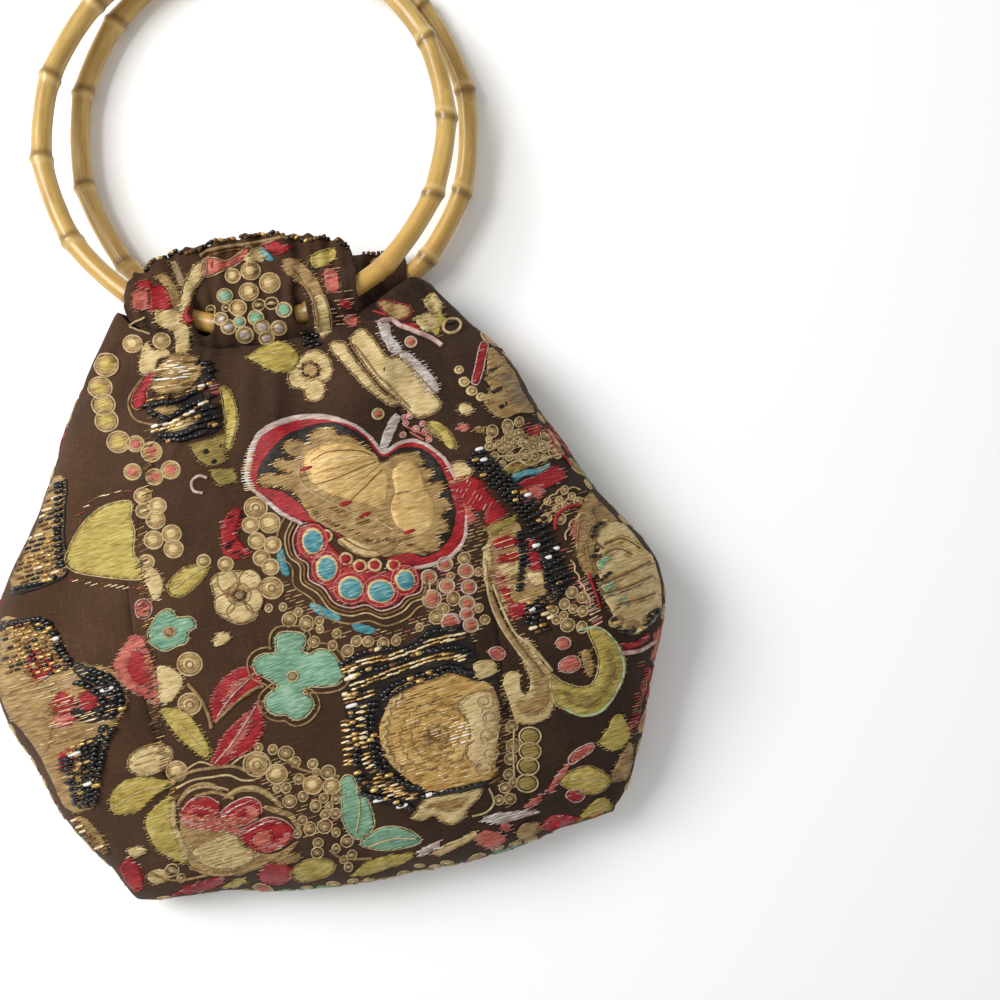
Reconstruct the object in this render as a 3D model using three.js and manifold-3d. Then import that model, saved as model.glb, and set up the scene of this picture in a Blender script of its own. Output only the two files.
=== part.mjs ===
// A soft embroidered pouch bag lying on its back, with a bamboo ring handle in a gathered casing on the front and the back.
// Millimetres. +X runs across the bag, +Y from the bottom seam to the ring handles, +Z out of the front.
import * as THREE from "three";
import { mergeVertices } from "three/addons/utils/BufferGeometryUtils.js";
import Module from "manifold-3d";

const wasm = await Module();
wasm.setup();

// Driving dimensions
const cloth = 1.8; // thickness of the lined, embroidered cloth
const seamGap = 0.3; // clear space between two sewn edges
const ringRadius = 81; // centreline of a bamboo ring
const caneRadius = 4; // bamboo between two nodes
const nodeSwell = 0.7; // how far a node stands proud of the cane
const nodeWidth = 4.5; // length of a node's swelling along the cane
const caneStraight = 0.35; // share by which the cane runs straight between two nodes
const tunnelRadius = 5.4; // inside of the casing that a ring passes through
const casingWall = 1.5; // thickness of one layer of casing cloth
const headerCloth = 2.8; // the two layers of the frill above a ring
const skirtLength = 9; // from a ring's centreline down to the panels' top edge
const bottomRound = 34; // how far the rounded bottom end reaches up the bag
const bottomDip = -196; // lowest point of the bottom edge
const bottomBow = 11; // how much higher the bottom corners are
const backLift = 6; // height of the back panel's top edge off the floor
const mouthLeft = 46; // top edge of the sides at the left and right rim
const mouthRight = 36;

// Outline and fullness at sections from the bottom to the mouth
const sections = [
  { y: -200, left: -88, right: 92, crown: 40, rim: 13, square: 2.4 },
  { y: -187, left: -94.5, right: 99, crown: 42, rim: 13, square: 2.4 },
  { y: -172, left: -103, right: 109, crown: 46, rim: 14, square: 2.4 },
  { y: -155, left: -114, right: 116, crown: 51, rim: 16, square: 2.4 },
  { y: -135, left: -121, right: 123, crown: 56, rim: 18, square: 2.4 },
  { y: -115, left: -127, right: 129.5, crown: 60, rim: 20, square: 2.4 },
  { y: -97, left: -133.8, right: 134, crown: 62, rim: 21, square: 2.4 },
  { y: -80, left: -131, right: 130.5, crown: 63, rim: 21, square: 2.4 },
  { y: -60, left: -125, right: 116, crown: 63, rim: 20, square: 2.5 },
  { y: -40, left: -112, right: 105, crown: 61, rim: 19, square: 2.6 },
  { y: -20, left: -101, right: 96, crown: 57, rim: 18, square: 2.7 },
  { y: 0, left: -90, right: 88.5, crown: 49, rim: 18, square: 2.9 },
  { y: 20, left: -80, right: 74, crown: 36.5, rim: 17, square: 3.3 },
  { y: 40, left: -67.5, right: 59, crown: 33.5, rim: 17, square: 3.6 },
  { y: 55, left: -58, right: 47, crown: 32.5, rim: 17, square: 3.6 },
];

// Where the side seams lie, as a share of the quarter turn from the bag's middle to its rim
const seams = [
  { rise: 0, front: 0.54, back: 0.52 },
  { rise: 0.15, front: 0.44, back: 0.5 },
  { rise: 0.4, front: 0.34, back: 0.5 },
  { rise: 0.7, front: 0.33, back: 0.5 },
  { rise: 1, front: 0.29, back: 0.5 },
];
const seamDip = 1.6; // how deep the stitching pulls a seam in
const seamDipWidth = 6;

// Soft folds of the front: middle, direction, length and width of each, and how far it stands out
const folds = [
  { x: -40, y: -4, turn: 104, length: 40, width: 7, out: 4.2 },
  { x: -20, y: 2, turn: 92, length: 34, width: 5, out: -4 },
  { x: 10, y: 0, turn: 84, length: 30, width: 5, out: -3.6 },
  { x: 31, y: -8, turn: 60, length: 42, width: 8, out: 4 },
  { x: 55, y: -4, turn: 50, length: 34, width: 6, out: -3.6 },
  { x: 72, y: -30, turn: 62, length: 30, width: 9, out: 3 },
  { x: -84, y: -58, turn: 66, length: 40, width: 12, out: -4.6 },
  { x: -104, y: -108, turn: 100, length: 32, width: 14, out: 4 },
  { x: -20, y: -70, turn: 96, length: 46, width: 14, out: -2.4 },
  { x: 104, y: -92, turn: 82, length: 30, width: 14, out: 5 },
  { x: 84, y: -140, turn: 72, length: 40, width: 10, out: -3.8 },
  { x: -82, y: -158, turn: 128, length: 34, width: 10, out: -3.2 },
  { x: 24, y: -170, turn: 8, length: 60, width: 9, out: -2.6 },
];
const gather = { pitch: 13.5, out: 2.1, reach: 15 }; // small pleats, fullest a little below the casing

// Ring handles: middle, height at the casing and at the far end, and the compass turn of each bamboo node
const frontRing = {
  x: -1.3,
  y: 109.9,
  nearHeight: 34,
  farHeight: 14.6,
  nodes: [17, 45, 73, 101, 130, 155.5, 180, 206, 231, 256, 281, 305.5, 330, 353],
};
const backRing = {
  x: 7.7,
  y: 110.4,
  nearHeight: 7.2,
  farHeight: 4.9,
  nodes: [4, 32, 59, 86, 111, 135, 158, 186, 212, 237, 262, 288, 312, 334],
};

// Casings: ends across the bag, height of the frill's edge at its left, middle and right, and the slits that show the cane
const frontCasing = {
  left: -56,
  right: 33,
  edge: [56.5, 64, 54.5],
  frill: 2.3,
  slits: [
    { x: -26.4, width: 8.4, below: 5.5, above: 15 },
    { x: 11.6, width: 5.4, below: 5, above: 12 },
  ],
};
const backCasing = { left: -52, right: 52, edge: [66, 60, 53.5], frill: 1.9, slits: [] };
const frillPitch = 12;

// Smallest shares of the model
const ringSides = 10;
const nodeSteps = [0, 0.08, 0.32, 0.68, 0.92]; // crowded towards the nodes, where the cane swells
const tunnelSides = 10;
const stationsPerFrill = 4;
const normalStep = 0.004;

const radians = THREE.MathUtils.degToRad;
const mix = THREE.MathUtils.lerp;
const smoothstep = THREE.MathUtils.smoothstep;

// A smooth curve through one column of a table
function sample(table, by, column, at) {
  let k = 0;
  while (k < table.length - 2 && at > table[k + 1][by]) k += 1;
  const row = (i) => table[THREE.MathUtils.clamp(i, 0, table.length - 1)];
  const slope = (i) =>
    (row(i + 1)[column] - row(i - 1)[column]) / (row(i + 1)[by] - row(i - 1)[by]);
  const span = row(k + 1)[by] - row(k)[by];
  const t = THREE.MathUtils.clamp((at - row(k)[by]) / span, 0, 1);
  const rest = 1 - t;
  return (
    row(k)[column] * (1 + 2 * t) * rest * rest +
    row(k + 1)[column] * (3 - 2 * t) * t * t +
    slope(k) * span * t * rest * rest -
    slope(k + 1) * span * t * t * rest
  );
}

// The slope of a ring's plane, from its casing to its far end
function ringSlope(ring) {
  return Math.atan2(ring.farHeight - ring.nearHeight, 2 * ringRadius);
}

// Height of a ring's plane at a place along the bag
function ringHeight(ring, y) {
  const middle = (ring.nearHeight + ring.farHeight) / 2;
  return middle + (y - ring.y) * Math.tan(ringSlope(ring));
}

// The lower arc of a circle in a ring's plane, about its middle
function arcBelow(ring, radius, x) {
  const drop = Math.sqrt(radius * radius - (x - ring.x) ** 2);
  return ring.y - drop * Math.cos(ringSlope(ring));
}

// How far the folds and the pleats under the casing stand out at a place on the front
function foldOut(x, y, mouthY) {
  let out = 0;
  for (const fold of folds) {
    const c = Math.cos(radians(fold.turn));
    const s = Math.sin(radians(fold.turn));
    const along = ((x - fold.x) * c + (y - fold.y) * s) / fold.length;
    const across = ((y - fold.y) * c - (x - fold.x) * s) / fold.width;
    out += fold.out * Math.exp(-along * along - across * across);
  }
  const pleat = Math.cos((2 * Math.PI * x) / gather.pitch);
  const below = (mouthY - y) / gather.reach;
  return out + gather.out * pleat * below * Math.exp(1 - below);
}

// A point of the bag's outside. face is 1 on the front and -1 on the back, turn runs from -1 at the left rim
// to 1 at the right one, and rise from 0 at the bottom edge to 1 at the mouth.
function skin(face, turn, rise) {
  const angle = (turn * Math.PI) / 2;
  const across = Math.sin(angle);
  const bottomY = bottomDip + bottomBow * across * across;
  const ring = face > 0 ? frontRing : backRing;
  const rimY = across < 0 ? mouthLeft : mouthRight;
  const place = (y) => {
    const square = sample(sections, "y", "square", y);
    const left = sample(sections, "y", "left", y);
    const right = sample(sections, "y", "right", y);
    const full = (1 - Math.min(1, Math.abs(across) ** square)) ** (1 / square);
    return { x: (left + right) / 2 + (across * (right - left)) / 2, full };
  };
  // The mouth's edge follows the ring above it, and comes to the rim's own height at the sides
  let mouthY = rimY;
  for (let pass = 0; pass < 14; pass += 1) {
    const arc = arcBelow(ring, ringRadius + skirtLength, place(mouthY).x);
    mouthY = mix(arc, rimY, smoothstep(Math.abs(across), 0.9, 1));
  }
  // Rows are closer together where the bottom end is round
  const climb = mouthY - bottomY;
  const roundRise = (Math.PI / 2) * (bottomRound / climb);
  const up =
    rise < roundRise
      ? bottomRound * (1 - Math.cos(((rise / roundRise) * Math.PI) / 2))
      : mix(bottomRound, climb, (rise - roundRise) / (1 - roundRise));
  const y = bottomY + up;
  const bottomFull = Math.sqrt(1 - (1 - Math.min(up / bottomRound, 1)) ** 2);
  const { x, full } = place(y);
  const rim = sample(sections, "y", "rim", y);
  const swell = full * bottomFull;
  if (face < 0) {
    const flat = 1 - (1 - Math.min(1, 1.35 * swell)) ** 2;
    const lift = backLift * smoothstep(y, mouthY - 24, mouthY - 2);
    return new THREE.Vector3(x, y, mix(rim, lift, flat));
  }
  const crown = sample(sections, "y", "crown", y);
  const seamTurn = sample(seams, "rise", "front", rise);
  const fromSeam = ((Math.abs(turn) - seamTurn) * 130) / seamDipWidth;
  const dip = seamDip * Math.exp(-fromSeam * fromSeam) * smoothstep(1 - rise, 0, 0.2);
  const out = (foldOut(x, y, mouthY) - dip) * Math.min(1, 1.6 * swell);
  return new THREE.Vector3(x, y, rim + (crown - rim) * swell + out);
}

// A closed geometry from vertices and triangles, turned right side out
function closed(vertices, triangles) {
  const flat = new Float32Array(vertices.length * 3);
  vertices.forEach((v, i) => v.toArray(flat, i * 3));
  let volume = 0;
  for (const [a, b, c] of triangles) {
    volume += vertices[a].dot(new THREE.Vector3().crossVectors(vertices[b], vertices[c]));
  }
  const order = volume < 0 ? triangles.map(([a, b, c]) => [a, c, b]) : triangles;
  const geometry = new THREE.BufferGeometry();
  geometry.setAttribute("position", new THREE.BufferAttribute(flat, 3));
  geometry.setIndex(order.flat());
  return geometry;
}

// A sheet of even thickness from a grid of outer and inner points
function thickSheet(grid) {
  const rows = grid.length;
  const columns = grid[0].length;
  const outer = (i, j) => i * columns + j;
  const inner = (i, j) => rows * columns + i * columns + j;
  const vertices = [...grid.flat().map((p) => p.outer), ...grid.flat().map((p) => p.inner)];
  const triangles = [];
  const quad = (a, b, c, d) => triangles.push([a, b, c], [a, c, d]);
  for (let i = 0; i < rows - 1; i += 1) {
    for (let j = 0; j < columns - 1; j += 1) {
      quad(outer(i, j), outer(i, j + 1), outer(i + 1, j + 1), outer(i + 1, j));
      quad(inner(i, j), inner(i + 1, j), inner(i + 1, j + 1), inner(i, j + 1));
    }
    quad(outer(i, 0), outer(i + 1, 0), inner(i + 1, 0), inner(i, 0));
    const last = columns - 1;
    quad(outer(i, last), inner(i, last), inner(i + 1, last), outer(i + 1, last));
  }
  for (let j = 0; j < columns - 1; j += 1) {
    const last = rows - 1;
    quad(outer(0, j), inner(0, j), inner(0, j + 1), outer(0, j + 1));
    quad(outer(last, j), outer(last, j + 1), inner(last, j + 1), inner(last, j));
  }
  return closed(vertices, triangles);
}

// One cloth panel. walk gives the face and turn at a share of the way across it, for a row's rise.
function panel(walk, columns, rows) {
  const at = (share, rise) => {
    const { face, turn } = walk(THREE.MathUtils.clamp(share, 0, 1), rise);
    return skin(face, turn, rise);
  };
  const grid = [];
  for (let i = 0; i <= rows; i += 1) {
    const rise = i / rows;
    const line = [];
    for (let j = 0; j <= columns; j += 1) {
      const share = j / columns;
      const outer = at(share, rise);
      const acrossStep = at(share + normalStep, rise).sub(at(share - normalStep, rise));
      const low = Math.max(0, rise - normalStep);
      const upStep = at(share, Math.min(1, rise + normalStep)).sub(at(share, low));
      const normal = acrossStep.cross(upStep).normalize();
      const inner = outer.clone().addScaledVector(normal, -cloth);
      // Near the rim the two walls stay on their own sides of it
      const { face, turn } = walk(share, rise);
      const rim = sample(sections, "y", "rim", outer.y);
      const apart = (seamGap / 2) * (1 - Math.abs(turn) ** 8);
      if (i === 0) outer.z = rim + face * apart;
      inner.z = face > 0 ? Math.max(inner.z, rim + apart) : Math.min(inner.z, rim - apart);
      line.push({ outer, inner });
    }
    grid.push(line);
  }
  return thickSheet(grid);
}

// The share of a quarter turn that a panel keeps clear of its seam
function sewn(rise) {
  const y = mix(bottomDip, mouthRight, rise);
  const width = sample(sections, "y", "right", y) - sample(sections, "y", "left", y);
  return (1.3 * seamGap) / width;
}

// The front or back panel, between the two side seams
function mainPanel(face, columns, rows) {
  const column = face > 0 ? "front" : "back";
  const walk = (share, rise) => {
    const edge = sample(seams, "rise", column, rise) - sewn(rise);
    return { face, turn: face * mix(-edge, edge, share) };
  };
  return panel(walk, columns, rows);
}

// A side panel, from its front seam round the rim to its back seam
function sidePanel(side, columns, rows) {
  const frontShare = 0.58;
  const walk = (share, rise) => {
    const front = sample(seams, "rise", "front", rise) + sewn(rise);
    const back = sample(seams, "rise", "back", rise) + sewn(rise);
    const onFront = share <= frontShare;
    const turn = onFront
      ? mix(front, 1, share / frontShare)
      : mix(1, back, (share - frontShare) / (1 - frontShare));
    return { face: onFront ? 1 : -1, turn: side * turn };
  };
  return panel((share, rise) => walk(side > 0 ? share : 1 - share, rise), columns, rows);
}

// A bamboo ring, swollen at its nodes and nearly straight between them
function bambooRing(ring) {
  const nodes = ring.nodes.map(radians);
  const slope = ringSlope(ring);
  const upAxis = new THREE.Vector3(0, Math.cos(slope), Math.sin(slope));
  const outAxis = new THREE.Vector3(0, -Math.sin(slope), Math.cos(slope));
  const acrossAxis = new THREE.Vector3(1, 0, 0);
  const middle = new THREE.Vector3(ring.x, ring.y, (ring.nearHeight + ring.farHeight) / 2);
  const vertices = [];
  const triangles = [];
  const steps = nodes.length * nodeSteps.length;
  nodes.forEach((turn, k) => {
    const next = k + 1 < nodes.length ? nodes[k + 1] : nodes[0] + 2 * Math.PI;
    const half = (next - turn) / 2;
    for (const share of nodeSteps) {
      const fromMiddle = (share - 0.5) * 2 * half;
      const angle = turn + half + fromMiddle;
      const straight = ringRadius * (Math.cos(half) / Math.cos(fromMiddle));
      const bend = mix(ringRadius, straight, caneStraight);
      const fromNode = Math.min(share, 1 - share) * 2 * half * ringRadius;
      const swell = nodeSwell * Math.exp(-((fromNode / (nodeWidth / 2)) ** 2));
      const radial = acrossAxis
        .clone()
        .multiplyScalar(Math.cos(angle))
        .addScaledVector(upAxis, Math.sin(angle));
      const centre = middle.clone().addScaledVector(radial, bend);
      for (let s = 0; s < ringSides; s += 1) {
        const round = (2 * Math.PI * s) / ringSides;
        const reach = caneRadius + swell;
        vertices.push(
          centre
            .clone()
            .addScaledVector(radial, reach * Math.cos(round))
            .addScaledVector(outAxis, reach * Math.sin(round)),
        );
      }
    }
  });
  for (let k = 0; k < steps; k += 1) {
    for (let s = 0; s < ringSides; s += 1) {
      const a = k * ringSides + s;
      const b = k * ringSides + ((s + 1) % ringSides);
      const c = ((k + 1) % steps) * ringSides + s;
      const d = ((k + 1) % steps) * ringSides + ((s + 1) % ringSides);
      triangles.push([a, c, d], [a, d, b]);
    }
  }
  return closed(vertices, triangles);
}

// The height of a frill's edge along its casing: a parabola through its left, middle and right values
function frillEdge(casing, x) {
  const t = (2 * (x - casing.left)) / (casing.right - casing.left) - 1;
  const [left, middle, right] = casing.edge;
  return middle + ((right - left) / 2) * t + ((left + right) / 2 - middle) * t * t;
}

// A casing: the tunnel that a ring passes through, the frill above it and the short skirt sewn to the panels
function casingStrip(casing, ring) {
  const stations = Math.round(((casing.right - casing.left) / frillPitch) * stationsPerFrill);
  const archAngles = [35, 62, 90, 118, 145].map(radians);
  const outerRadius = tunnelRadius + casingWall;
  const outlines = [];
  const tunnels = [];
  for (let k = 0; k <= stations; k += 1) {
    const x = mix(casing.left, casing.right, k / stations);
    const y = arcBelow(ring, ringRadius, x);
    const z = ringHeight(ring, y);
    const slant = ringRadius / Math.sqrt(ringRadius ** 2 - (x - ring.x) ** 2);
    const skirt = arcBelow(ring, ringRadius + skirtLength, x) + seamGap - y;
    const wave = Math.sin((2 * Math.PI * (x - casing.left)) / frillPitch);
    const pucker = 1 + 0.04 * wave;
    const start = outerRadius * slant + 1.5;
    const scallop = 0.9 * Math.cos((4 * Math.PI * x) / frillPitch);
    const edge = Math.max(frillEdge(casing, x) - y, start + 3) + scallop;
    const half = headerCloth / 2;
    const point = (up, out) => new THREE.Vector3(x, y + up, Math.max(z + out, 0));
    const arch = (angle, sign) =>
      point(-Math.cos(angle) * outerRadius * slant, sign * Math.sin(angle) * outerRadius * pucker);
    const bend = (share) => casing.frill * wave * share;
    const middle = (start + edge) / 2;
    outlines.push([
      point(skirt, half * 0.65),
      ...archAngles.map((a) => arch(a, 1)),
      point(start, half),
      point(middle, half + bend(0.6)),
      point(edge, half * 0.8 + bend(1)),
      point(edge, -half * 0.8 + bend(1)),
      point(middle, -half + bend(0.6)),
      point(start, -half),
      ...archAngles.toReversed().map((a) => arch(a, -1)),
      point(skirt, -half * 0.65),
    ]);
    const tunnel = [];
    for (let s = 0; s < tunnelSides; s += 1) {
      const round = (2 * Math.PI * (s + 0.5)) / tunnelSides;
      const up = tunnelRadius * slant * Math.cos(round);
      tunnel.push(new THREE.Vector3(x, y + up, z + tunnelRadius * Math.sin(round)));
    }
    tunnels.push(tunnel);
  }
  return sweptHollow(outlines, tunnels);
}

// A solid swept along X through outlines that each have one hole. Outlines run clockwise, holes the other way.
function sweptHollow(outlines, holes) {
  const around = outlines[0].length;
  const inside = holes[0].length;
  const loop = around + inside;
  const vertices = outlines.flatMap((outline, k) => [...outline, ...holes[k]]);
  const triangles = [];
  const quad = (a, b, c, d) => triangles.push([a, b, c], [a, c, d]);
  for (let k = 0; k < outlines.length - 1; k += 1) {
    const here = k * loop;
    const next = here + loop;
    for (let s = 0; s < around; s += 1) {
      const t = (s + 1) % around;
      quad(here + s, next + s, next + t, here + t);
    }
    for (let s = 0; s < inside; s += 1) {
      const a = around + s;
      const b = around + ((s + 1) % inside);
      quad(here + a, next + a, next + b, here + b);
    }
  }
  const plane = (p) => new THREE.Vector2(p.y, p.z);
  const addCap = (k, facing) => {
    const outline = outlines[k].map(plane);
    const hole = holes[k].map(plane);
    const points = [...outline, ...hole];
    for (const [a, b, c] of THREE.ShapeUtils.triangulateShape(outline, [hole])) {
      const area = THREE.ShapeUtils.area([points[a], points[b], points[c]]);
      const order = area * facing > 0 ? [a, b, c] : [a, c, b];
      triangles.push(order.map((i) => i + k * loop));
    }
  };
  addCap(0, -1);
  addCap(outlines.length - 1, 1);
  return closed(vertices, triangles);
}

// Solids for cutting, and back to geometry
function toSolid(geometry) {
  const bare = geometry.clone();
  bare.deleteAttribute("normal");
  bare.deleteAttribute("uv");
  const merged = mergeVertices(bare, 1e-4);
  return new wasm.Manifold(
    new wasm.Mesh({
      numProp: 3,
      vertProperties: merged.attributes.position.array,
      triVerts: new Uint32Array(merged.index.array),
    }),
  );
}

function toGeometry(solid) {
  const mesh = solid.getMesh();
  const geometry = new THREE.BufferGeometry();
  geometry.setAttribute("position", new THREE.BufferAttribute(mesh.vertProperties, 3));
  geometry.setIndex(new THREE.BufferAttribute(mesh.triVerts, 1));
  return geometry;
}

// A round-ended slit through the front layer of a casing, over its ring
function slitCutter(slit, ring) {
  const y = arcBelow(ring, ringRadius, slit.x);
  const z = ringHeight(ring, y);
  const half = slit.width / 2;
  const outline = new THREE.Shape();
  outline.absarc(slit.x, y + slit.above - half, half, 0, Math.PI);
  outline.absarc(slit.x, y - slit.below + half, half, Math.PI, 2 * Math.PI);
  outline.closePath();
  const options = { depth: 20, bevelEnabled: false, curveSegments: 5 };
  return new THREE.ExtrudeGeometry(outline, options).translate(0, 0, z + 0.4);
}

function casingWithSlits(casing, ring) {
  const strip = casingStrip(casing, ring);
  if (casing.slits.length === 0) return strip;
  let solid = toSolid(strip);
  for (const slit of casing.slits) solid = solid.subtract(toSolid(slitCutter(slit, ring)));
  return toGeometry(solid);
}

// Finishes
const brownCloth = { color: 0x5f4a3c, roughness: 0.62, metalness: 0 };
const bamboo = { color: 0xcfa657, roughness: 0.28, metalness: 0 };

const bag = new THREE.Group();
function addPiece(name, geometry, finish) {
  const shaded = geometry.toNonIndexed();
  shaded.computeVertexNormals();
  const mesh = new THREE.Mesh(shaded, new THREE.MeshStandardMaterial(finish));
  mesh.name = name;
  bag.add(mesh);
}

addPiece("front_panel", mainPanel(1, 14, 20), brownCloth);
addPiece("back_panel", mainPanel(-1, 10, 20), brownCloth);
addPiece("left_side_panel", sidePanel(-1, 14, 20), brownCloth);
addPiece("right_side_panel", sidePanel(1, 14, 20), brownCloth);
addPiece("front_casing", casingWithSlits(frontCasing, frontRing), brownCloth);
addPiece("back_casing", casingWithSlits(backCasing, backRing), brownCloth);
addPiece("front_ring", bambooRing(frontRing), bamboo);
addPiece("back_ring", bambooRing(backRing), bamboo);

export default bag;
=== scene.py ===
import math
import random

import bmesh
import bpy
from mathutils import Matrix, Vector, noise
from mathutils.bvhtree import BVHTree


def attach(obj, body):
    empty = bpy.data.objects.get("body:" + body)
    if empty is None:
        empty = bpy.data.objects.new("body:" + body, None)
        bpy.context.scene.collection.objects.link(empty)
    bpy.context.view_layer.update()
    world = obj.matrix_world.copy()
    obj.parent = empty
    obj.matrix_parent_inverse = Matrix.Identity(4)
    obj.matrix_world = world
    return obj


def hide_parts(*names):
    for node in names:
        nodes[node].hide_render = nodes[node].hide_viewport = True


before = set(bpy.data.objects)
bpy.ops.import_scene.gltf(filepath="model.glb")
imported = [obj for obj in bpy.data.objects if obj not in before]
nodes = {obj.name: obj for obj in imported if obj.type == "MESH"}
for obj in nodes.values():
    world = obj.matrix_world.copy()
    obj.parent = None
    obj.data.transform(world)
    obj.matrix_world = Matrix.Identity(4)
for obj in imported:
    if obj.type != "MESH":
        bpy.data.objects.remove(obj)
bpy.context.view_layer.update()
scene = bpy.context.scene
mm = 0.001

# The bag lies on its back, seen from straight above
viewSet = {
    "place": (0.0754, -0.0530, 0.480),
    "turn": -9.3,
    "lens": 41.33,
    "sensor": 36.0,
    "size": 1000,  # picture width and height
}
viewTurn = math.radians(viewSet["turn"])
viewEye = Vector(viewSet["place"])
viewMiddle = viewSet["size"] / 2
viewFocus = viewSet["lens"] / viewSet["sensor"] * viewSet["size"]
cameraData = bpy.data.cameras.new("camera")
cameraData.lens = viewSet["lens"]
cameraData.sensor_width = viewSet["sensor"]
cameraData.dof.use_dof = False
camera = bpy.data.objects.new("camera", cameraData)
camera.location = viewEye
camera.rotation_euler = (0, 0, viewTurn)
scene.collection.objects.link(camera)
scene.camera = camera
print("camera ready")


# Finishes

def lin(colour):
    return [(c / 255 / 12.92) if c < 11 else ((c / 255 + 0.055) / 1.055) ** 2.4 for c in colour]


def addNode(tree, kind, inputs=None, **settings):
    node = tree.nodes.new(kind)
    for key, value in settings.items():
        setattr(node, key, value)
    for key, value in (inputs or {}).items():
        if isinstance(value, bpy.types.NodeSocket):
            tree.links.new(value, node.inputs[key])
        else:
            node.inputs[key].default_value = value
    return node


def addRamp(tree, value, stops):
    ramp = addNode(tree, "ShaderNodeValToRGB", {"Fac": value})
    elements = ramp.color_ramp.elements
    while len(elements) < len(stops):
        elements.new(0.5)
    for element, (place, colour) in zip(elements, stops):
        element.position = place
        element.color = (*lin(colour), 1)
    return ramp.outputs["Color"]


def addStretched(tree, coords, scale, detail=2.0, rough=0.5, flat=False):
    mapped = addNode(tree, "ShaderNodeMapping", {"Vector": coords, "Scale": scale})
    grain = addNode(
        tree,
        "ShaderNodeTexNoise",
        {"Vector": mapped.outputs["Vector"], "Scale": 1.0, "Detail": detail, "Roughness": rough},
        noise_dimensions="2D" if flat else "3D",
    )
    return grain.outputs["Fac"]


def addMath(tree, operation, a, b):
    node = tree.nodes.new("ShaderNodeMath")
    node.operation = operation
    for socket, value in zip(node.inputs, (a, b)):
        if isinstance(value, bpy.types.NodeSocket):
            tree.links.new(value, socket)
        else:
            socket.default_value = value
    return node.outputs[0]


def startMaterial(name):
    material = bpy.data.materials.new(name)
    material.use_nodes = True
    return material, material.node_tree, material.node_tree.nodes["Principled BSDF"]


def addFade(tree, value, fade):
    ends = {"Value": value, 1: fade["from"], 2: fade["to"], 3: 0.0, 4: fade["by"]}
    return addNode(tree, "ShaderNodeMapRange", ends).outputs["Result"]


def mixTones(tree, first, firstShare, second, secondShare):
    part = addMath(tree, "MULTIPLY", first, firstShare)
    return addMath(tree, "ADD", part, addMath(tree, "MULTIPLY", second, secondShare))


def finishShader(tree, shader, colour, sockets, height=None, bump=None):
    tree.links.new(colour, shader.inputs["Base Color"])
    if height is not None:
        strength, deep = bump
        raised = addNode(tree, "ShaderNodeBump", {"Height": height, "Strength": strength, "Distance": deep})
        tree.links.new(raised.outputs["Normal"], shader.inputs["Normal"])
    for socket, value in sockets.items():
        shader.inputs[socket].default_value = value


clothLook = {
    "stops": ((0.22, (38, 25, 16)), (0.5, (72, 49, 32)), (0.78, (101, 73, 50))),
    "fade": {"from": -0.13, "to": 0.11, "by": 0.24},  # painted shade: the cloth is darkened towards the right, the side turned away from the key light
    "thread": 1500,  # threads per metre
    "slub": 70,
    "cloud": 26,  # broad changes of tone
    "weaveShare": 0.55,
    "cloudShare": 0.4,
    "bump": (0.4, 0.0005),  # strength and depth
    "shader": {"Roughness": 0.88, "Specular IOR Level": 0.15, "Sheen Weight": 0.03, "Sheen Roughness": 0.6},
}


def makeCloth():
    material, tree, shader = startMaterial("brownSlubCloth")
    coords = addNode(tree, "ShaderNodeTexCoord").outputs["Object"]
    fine, long = clothLook["thread"], clothLook["slub"]
    runs = [
        addStretched(tree, coords, scale)
        for scale in ((long, fine, fine), (fine, long, fine), (fine, fine, long))
    ]
    weave = addMath(tree, "MAXIMUM", addMath(tree, "MAXIMUM", runs[0], runs[1]), runs[2])
    cloud = addStretched(tree, coords, [clothLook["cloud"]] * 3, 4.0, 0.6)
    tone = mixTones(tree, weave, clothLook["weaveShare"], cloud, clothLook["cloudShare"])
    across = addNode(tree, "ShaderNodeSeparateXYZ", {"Vector": coords}).outputs["X"]
    # painted shade: the tone is lowered towards the right of the bag
    tone = addMath(tree, "SUBTRACT", tone, addFade(tree, across, clothLook["fade"]))
    colour = addRamp(tree, tone, clothLook["stops"])
    finishShader(tree, shader, colour, clothLook["shader"], weave, clothLook["bump"])
    return material


# Thread finishes: deep, middle and bright colour, metal share, roughness
threadLooks = {
    "cream": ((150, 124, 78), (192, 168, 116), (216, 196, 150), 0.0, 0.6),
    "tan": ((98, 72, 40), (150, 120, 74), (184, 154, 104), 0.0, 0.6),
    "gold": ((142, 104, 50), (184, 146, 82), (218, 186, 124), 0.12, 0.42),
    # paler gold, partly the lobes' own thread and partly painted highlight
    "paleGoldAndPaintedHighlight": ((156, 120, 66), (192, 158, 98), (222, 194, 136), 0.12, 0.4),
    "red": ((92, 8, 14), (144, 20, 28), (174, 48, 46), 0.0, 0.5),
    "coral": ((120, 50, 42), (170, 82, 68), (200, 130, 110), 0.0, 0.55),
    "lime": ((122, 104, 40), (168, 147, 70), (200, 180, 114), 0.0, 0.6),
    "olive": ((88, 74, 34), (134, 114, 56), (168, 148, 86), 0.0, 0.6),
    "teal": ((70, 112, 90), (112, 150, 122), (156, 186, 158), 0.0, 0.55),
    "blue": ((22, 92, 112), (70, 128, 136), (146, 184, 172), 0.0, 0.5),
    "stone": ((88, 70, 50), (128, 106, 76), (166, 142, 106), 0.0, 0.65),
    "lilac": ((138, 116, 108), (174, 154, 144), (212, 198, 188), 0.0, 0.6),
    "silver": ((120, 106, 94), (178, 166, 156), (232, 226, 220), 0.1, 0.42),
    "dark": ((12, 9, 7), (26, 19, 15), (58, 44, 34), 0.0, 0.5),
}


threadSet = {
    "lines": (200, 1700, 1),  # grain along and across the stitches, per metre
    "cloud": (90, 170, 1),
    "lineShare": 0.6,
    "cloudShare": 0.3,
    "stops": (0.27, 0.45, 0.64),
    "bump": (0.5, 0.0006),
    "specular": 0.25,
}


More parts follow.
